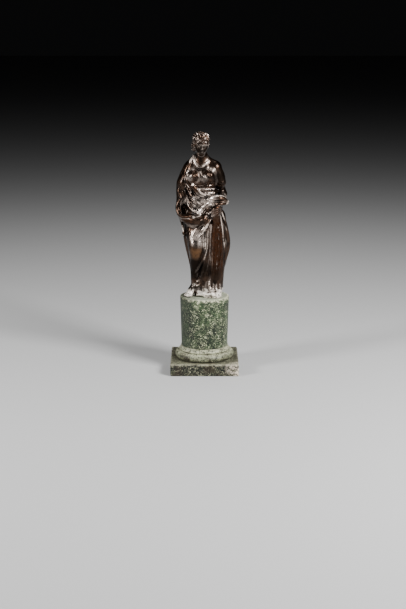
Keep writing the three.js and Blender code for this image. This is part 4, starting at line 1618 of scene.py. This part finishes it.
def base_finish():
    shop = Finish("green_marble_base")
    ground, clouds, broken, flecks = stone_ground(shop, *BASE_TONES, (0.80, 0.78, 0.54), 0.85)
    x, y, z = shop.axes(shop.place)
    half = PLINTH_SIDE / 2
    rust = shop.noise(12, detail=5, rough=0.6).between(0.5, 0.62)
    ground = shop.mix(rust * 0.6, ground, (0.018, 0.009, 0.005))
    ragged = shop.noise(3.2, detail=6, rough=0.75)
    # Painted highlight: a pale band over the plinth's top, strongest along its front edge.
    plinth_top_highlight = z.span(PLINTH_HEIGHT - 0.5, PLINTH_HEIGHT - 0.1)
    plinth_top_highlight = plinth_top_highlight * (1 - z.span(PLINTH_HEIGHT + 0.3, PLINTH_HEIGHT + 1.2))
    plinth_top_highlight = plinth_top_highlight * (1 - 0.75 * y.span(-34, -28))
    ground = shop.mix(plinth_top_highlight * broken.between(0.38, 0.56) * 0.75, ground, (0.36, 0.35, 0.24))
    torus_top = PLINTH_HEIGHT + TORUS_HEIGHT
    torus = z.span(PLINTH_HEIGHT + 0.6, PLINTH_HEIGHT + 1.4)
    torus = torus * (1 - rust * 0.85) * broken.between(0.42, 0.54)
    ground = shop.mix(torus * 0.7, ground, (0.28, 0.29, 0.18))
    # Painted highlight: pale broken patches along the top of the torus and over the fillet above it.
    step = z.span(torus_top - 2.2, torus_top - 0.2) * (1 - z.span(torus_top + 0.2, torus_top + 0.6))
    cap = z.span(torus_top + 1.4, torus_top + 2)
    moulding_highlight = ((step + cap) * ragged.between(0.4, 0.54)).at_most(1)
    ground = shop.mix(moulding_highlight * broken.between(0.38, 0.5) * 0.7, ground, (0.52, 0.52, 0.36))
    corner = shop.away_from(((half + 1) * MM, -(half + 1) * MM, 9.5 * MM))
    crumbly = shop.noise(2.6, detail=6, rough=0.8)
    broken_corner = (1 - (corner + ragged * 14 * MM).span(13, 25)) * crumbly.between(0.46, 0.53)
    ground = shop.mix(broken_corner * 0.9, ground, (0.64, 0.55, 0.44))
    edge = (x * x).at_least(y * y) ** 0.5
    arris = edge.span(half - 2.6, half - 0.3) * z.span(PLINTH_HEIGHT - 2.6, PLINTH_HEIGHT - 0.2)
    ground = shop.mix(arris * ragged.between(0.5, 0.57) * 0.5, ground, (0.44, 0.41, 0.30))
    height = clouds * 0.3 + broken * 0.8 + flecks * 0.3 + broken_corner * crumbly * 1.5
    shop.set(
        Base_Color=ground,
        Roughness=0.34 + broken * 0.24 + broken_corner * 0.3,
        Specular_IOR_Level=0.3,
        Normal=shop.bump(height, 0.5, 0.5),
    )
    return shop


bronze_finish().wear(woman)
drum_finish().wear(drum)
base_finish().wear(base)


# Floor and light, in metres
FLOOR_SIZE = 60
LIGHT_TARGET = Vector((0, 0, 0.15))
SKY_STRENGTH = 0.004


def make_floor():
    shape = bmesh.new()
    bmesh.ops.create_grid(shape, x_segments=1, y_segments=1, size=FLOOR_SIZE)
    return into_piece(shape, "floor")


def floor_finish():
    shop = Finish("floor_paper")
    grain = shop.noise(1.1, detail=3)
    shop.set(
        Base_Color=shop.mix(grain, (0.44, 0.44, 0.44), (0.48, 0.48, 0.48)),
        Roughness=0.8,
        Normal=shop.bump(grain, 0.1, 0.2),
    )
    return shop


def light_from(name, spot, size, power):
    lamp = bpy.data.lights.new(name, "AREA")
    lamp.size = size
    lamp.energy = power
    made = link(name, lamp)
    made.location = spot
    made.rotation_euler = (Vector(spot) - LIGHT_TARGET).to_track_quat("Z", "Y").to_euler()


floor = make_floor()
floor_finish().wear(floor)
light_from("key_light", (0.6, -0.52, 0.62), 0.3, 20)
light_from("fill_light", (-0.8, -0.45, 0.47), 0.2, 11)
light_from("top_light", (0.0, 0.15, 1.1), 0.4, 4)
world = bpy.data.worlds.new("studio")
bpy.context.scene.world = world
world.use_nodes = True
sky = world.node_tree.nodes["Background"]
sky.inputs["Color"].default_value = (0.85, 0.86, 0.9, 1)
sky.inputs["Strength"].default_value = SKY_STRENGTH

for piece, node, finish_slot in (
    (woman, "bronze_figure", "bronze"),
    (drum, "column_drum", "drum_marble"),
    (base, "moulded_base", "base_marble"),
):
    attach(piece, "root")
    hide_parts(node)
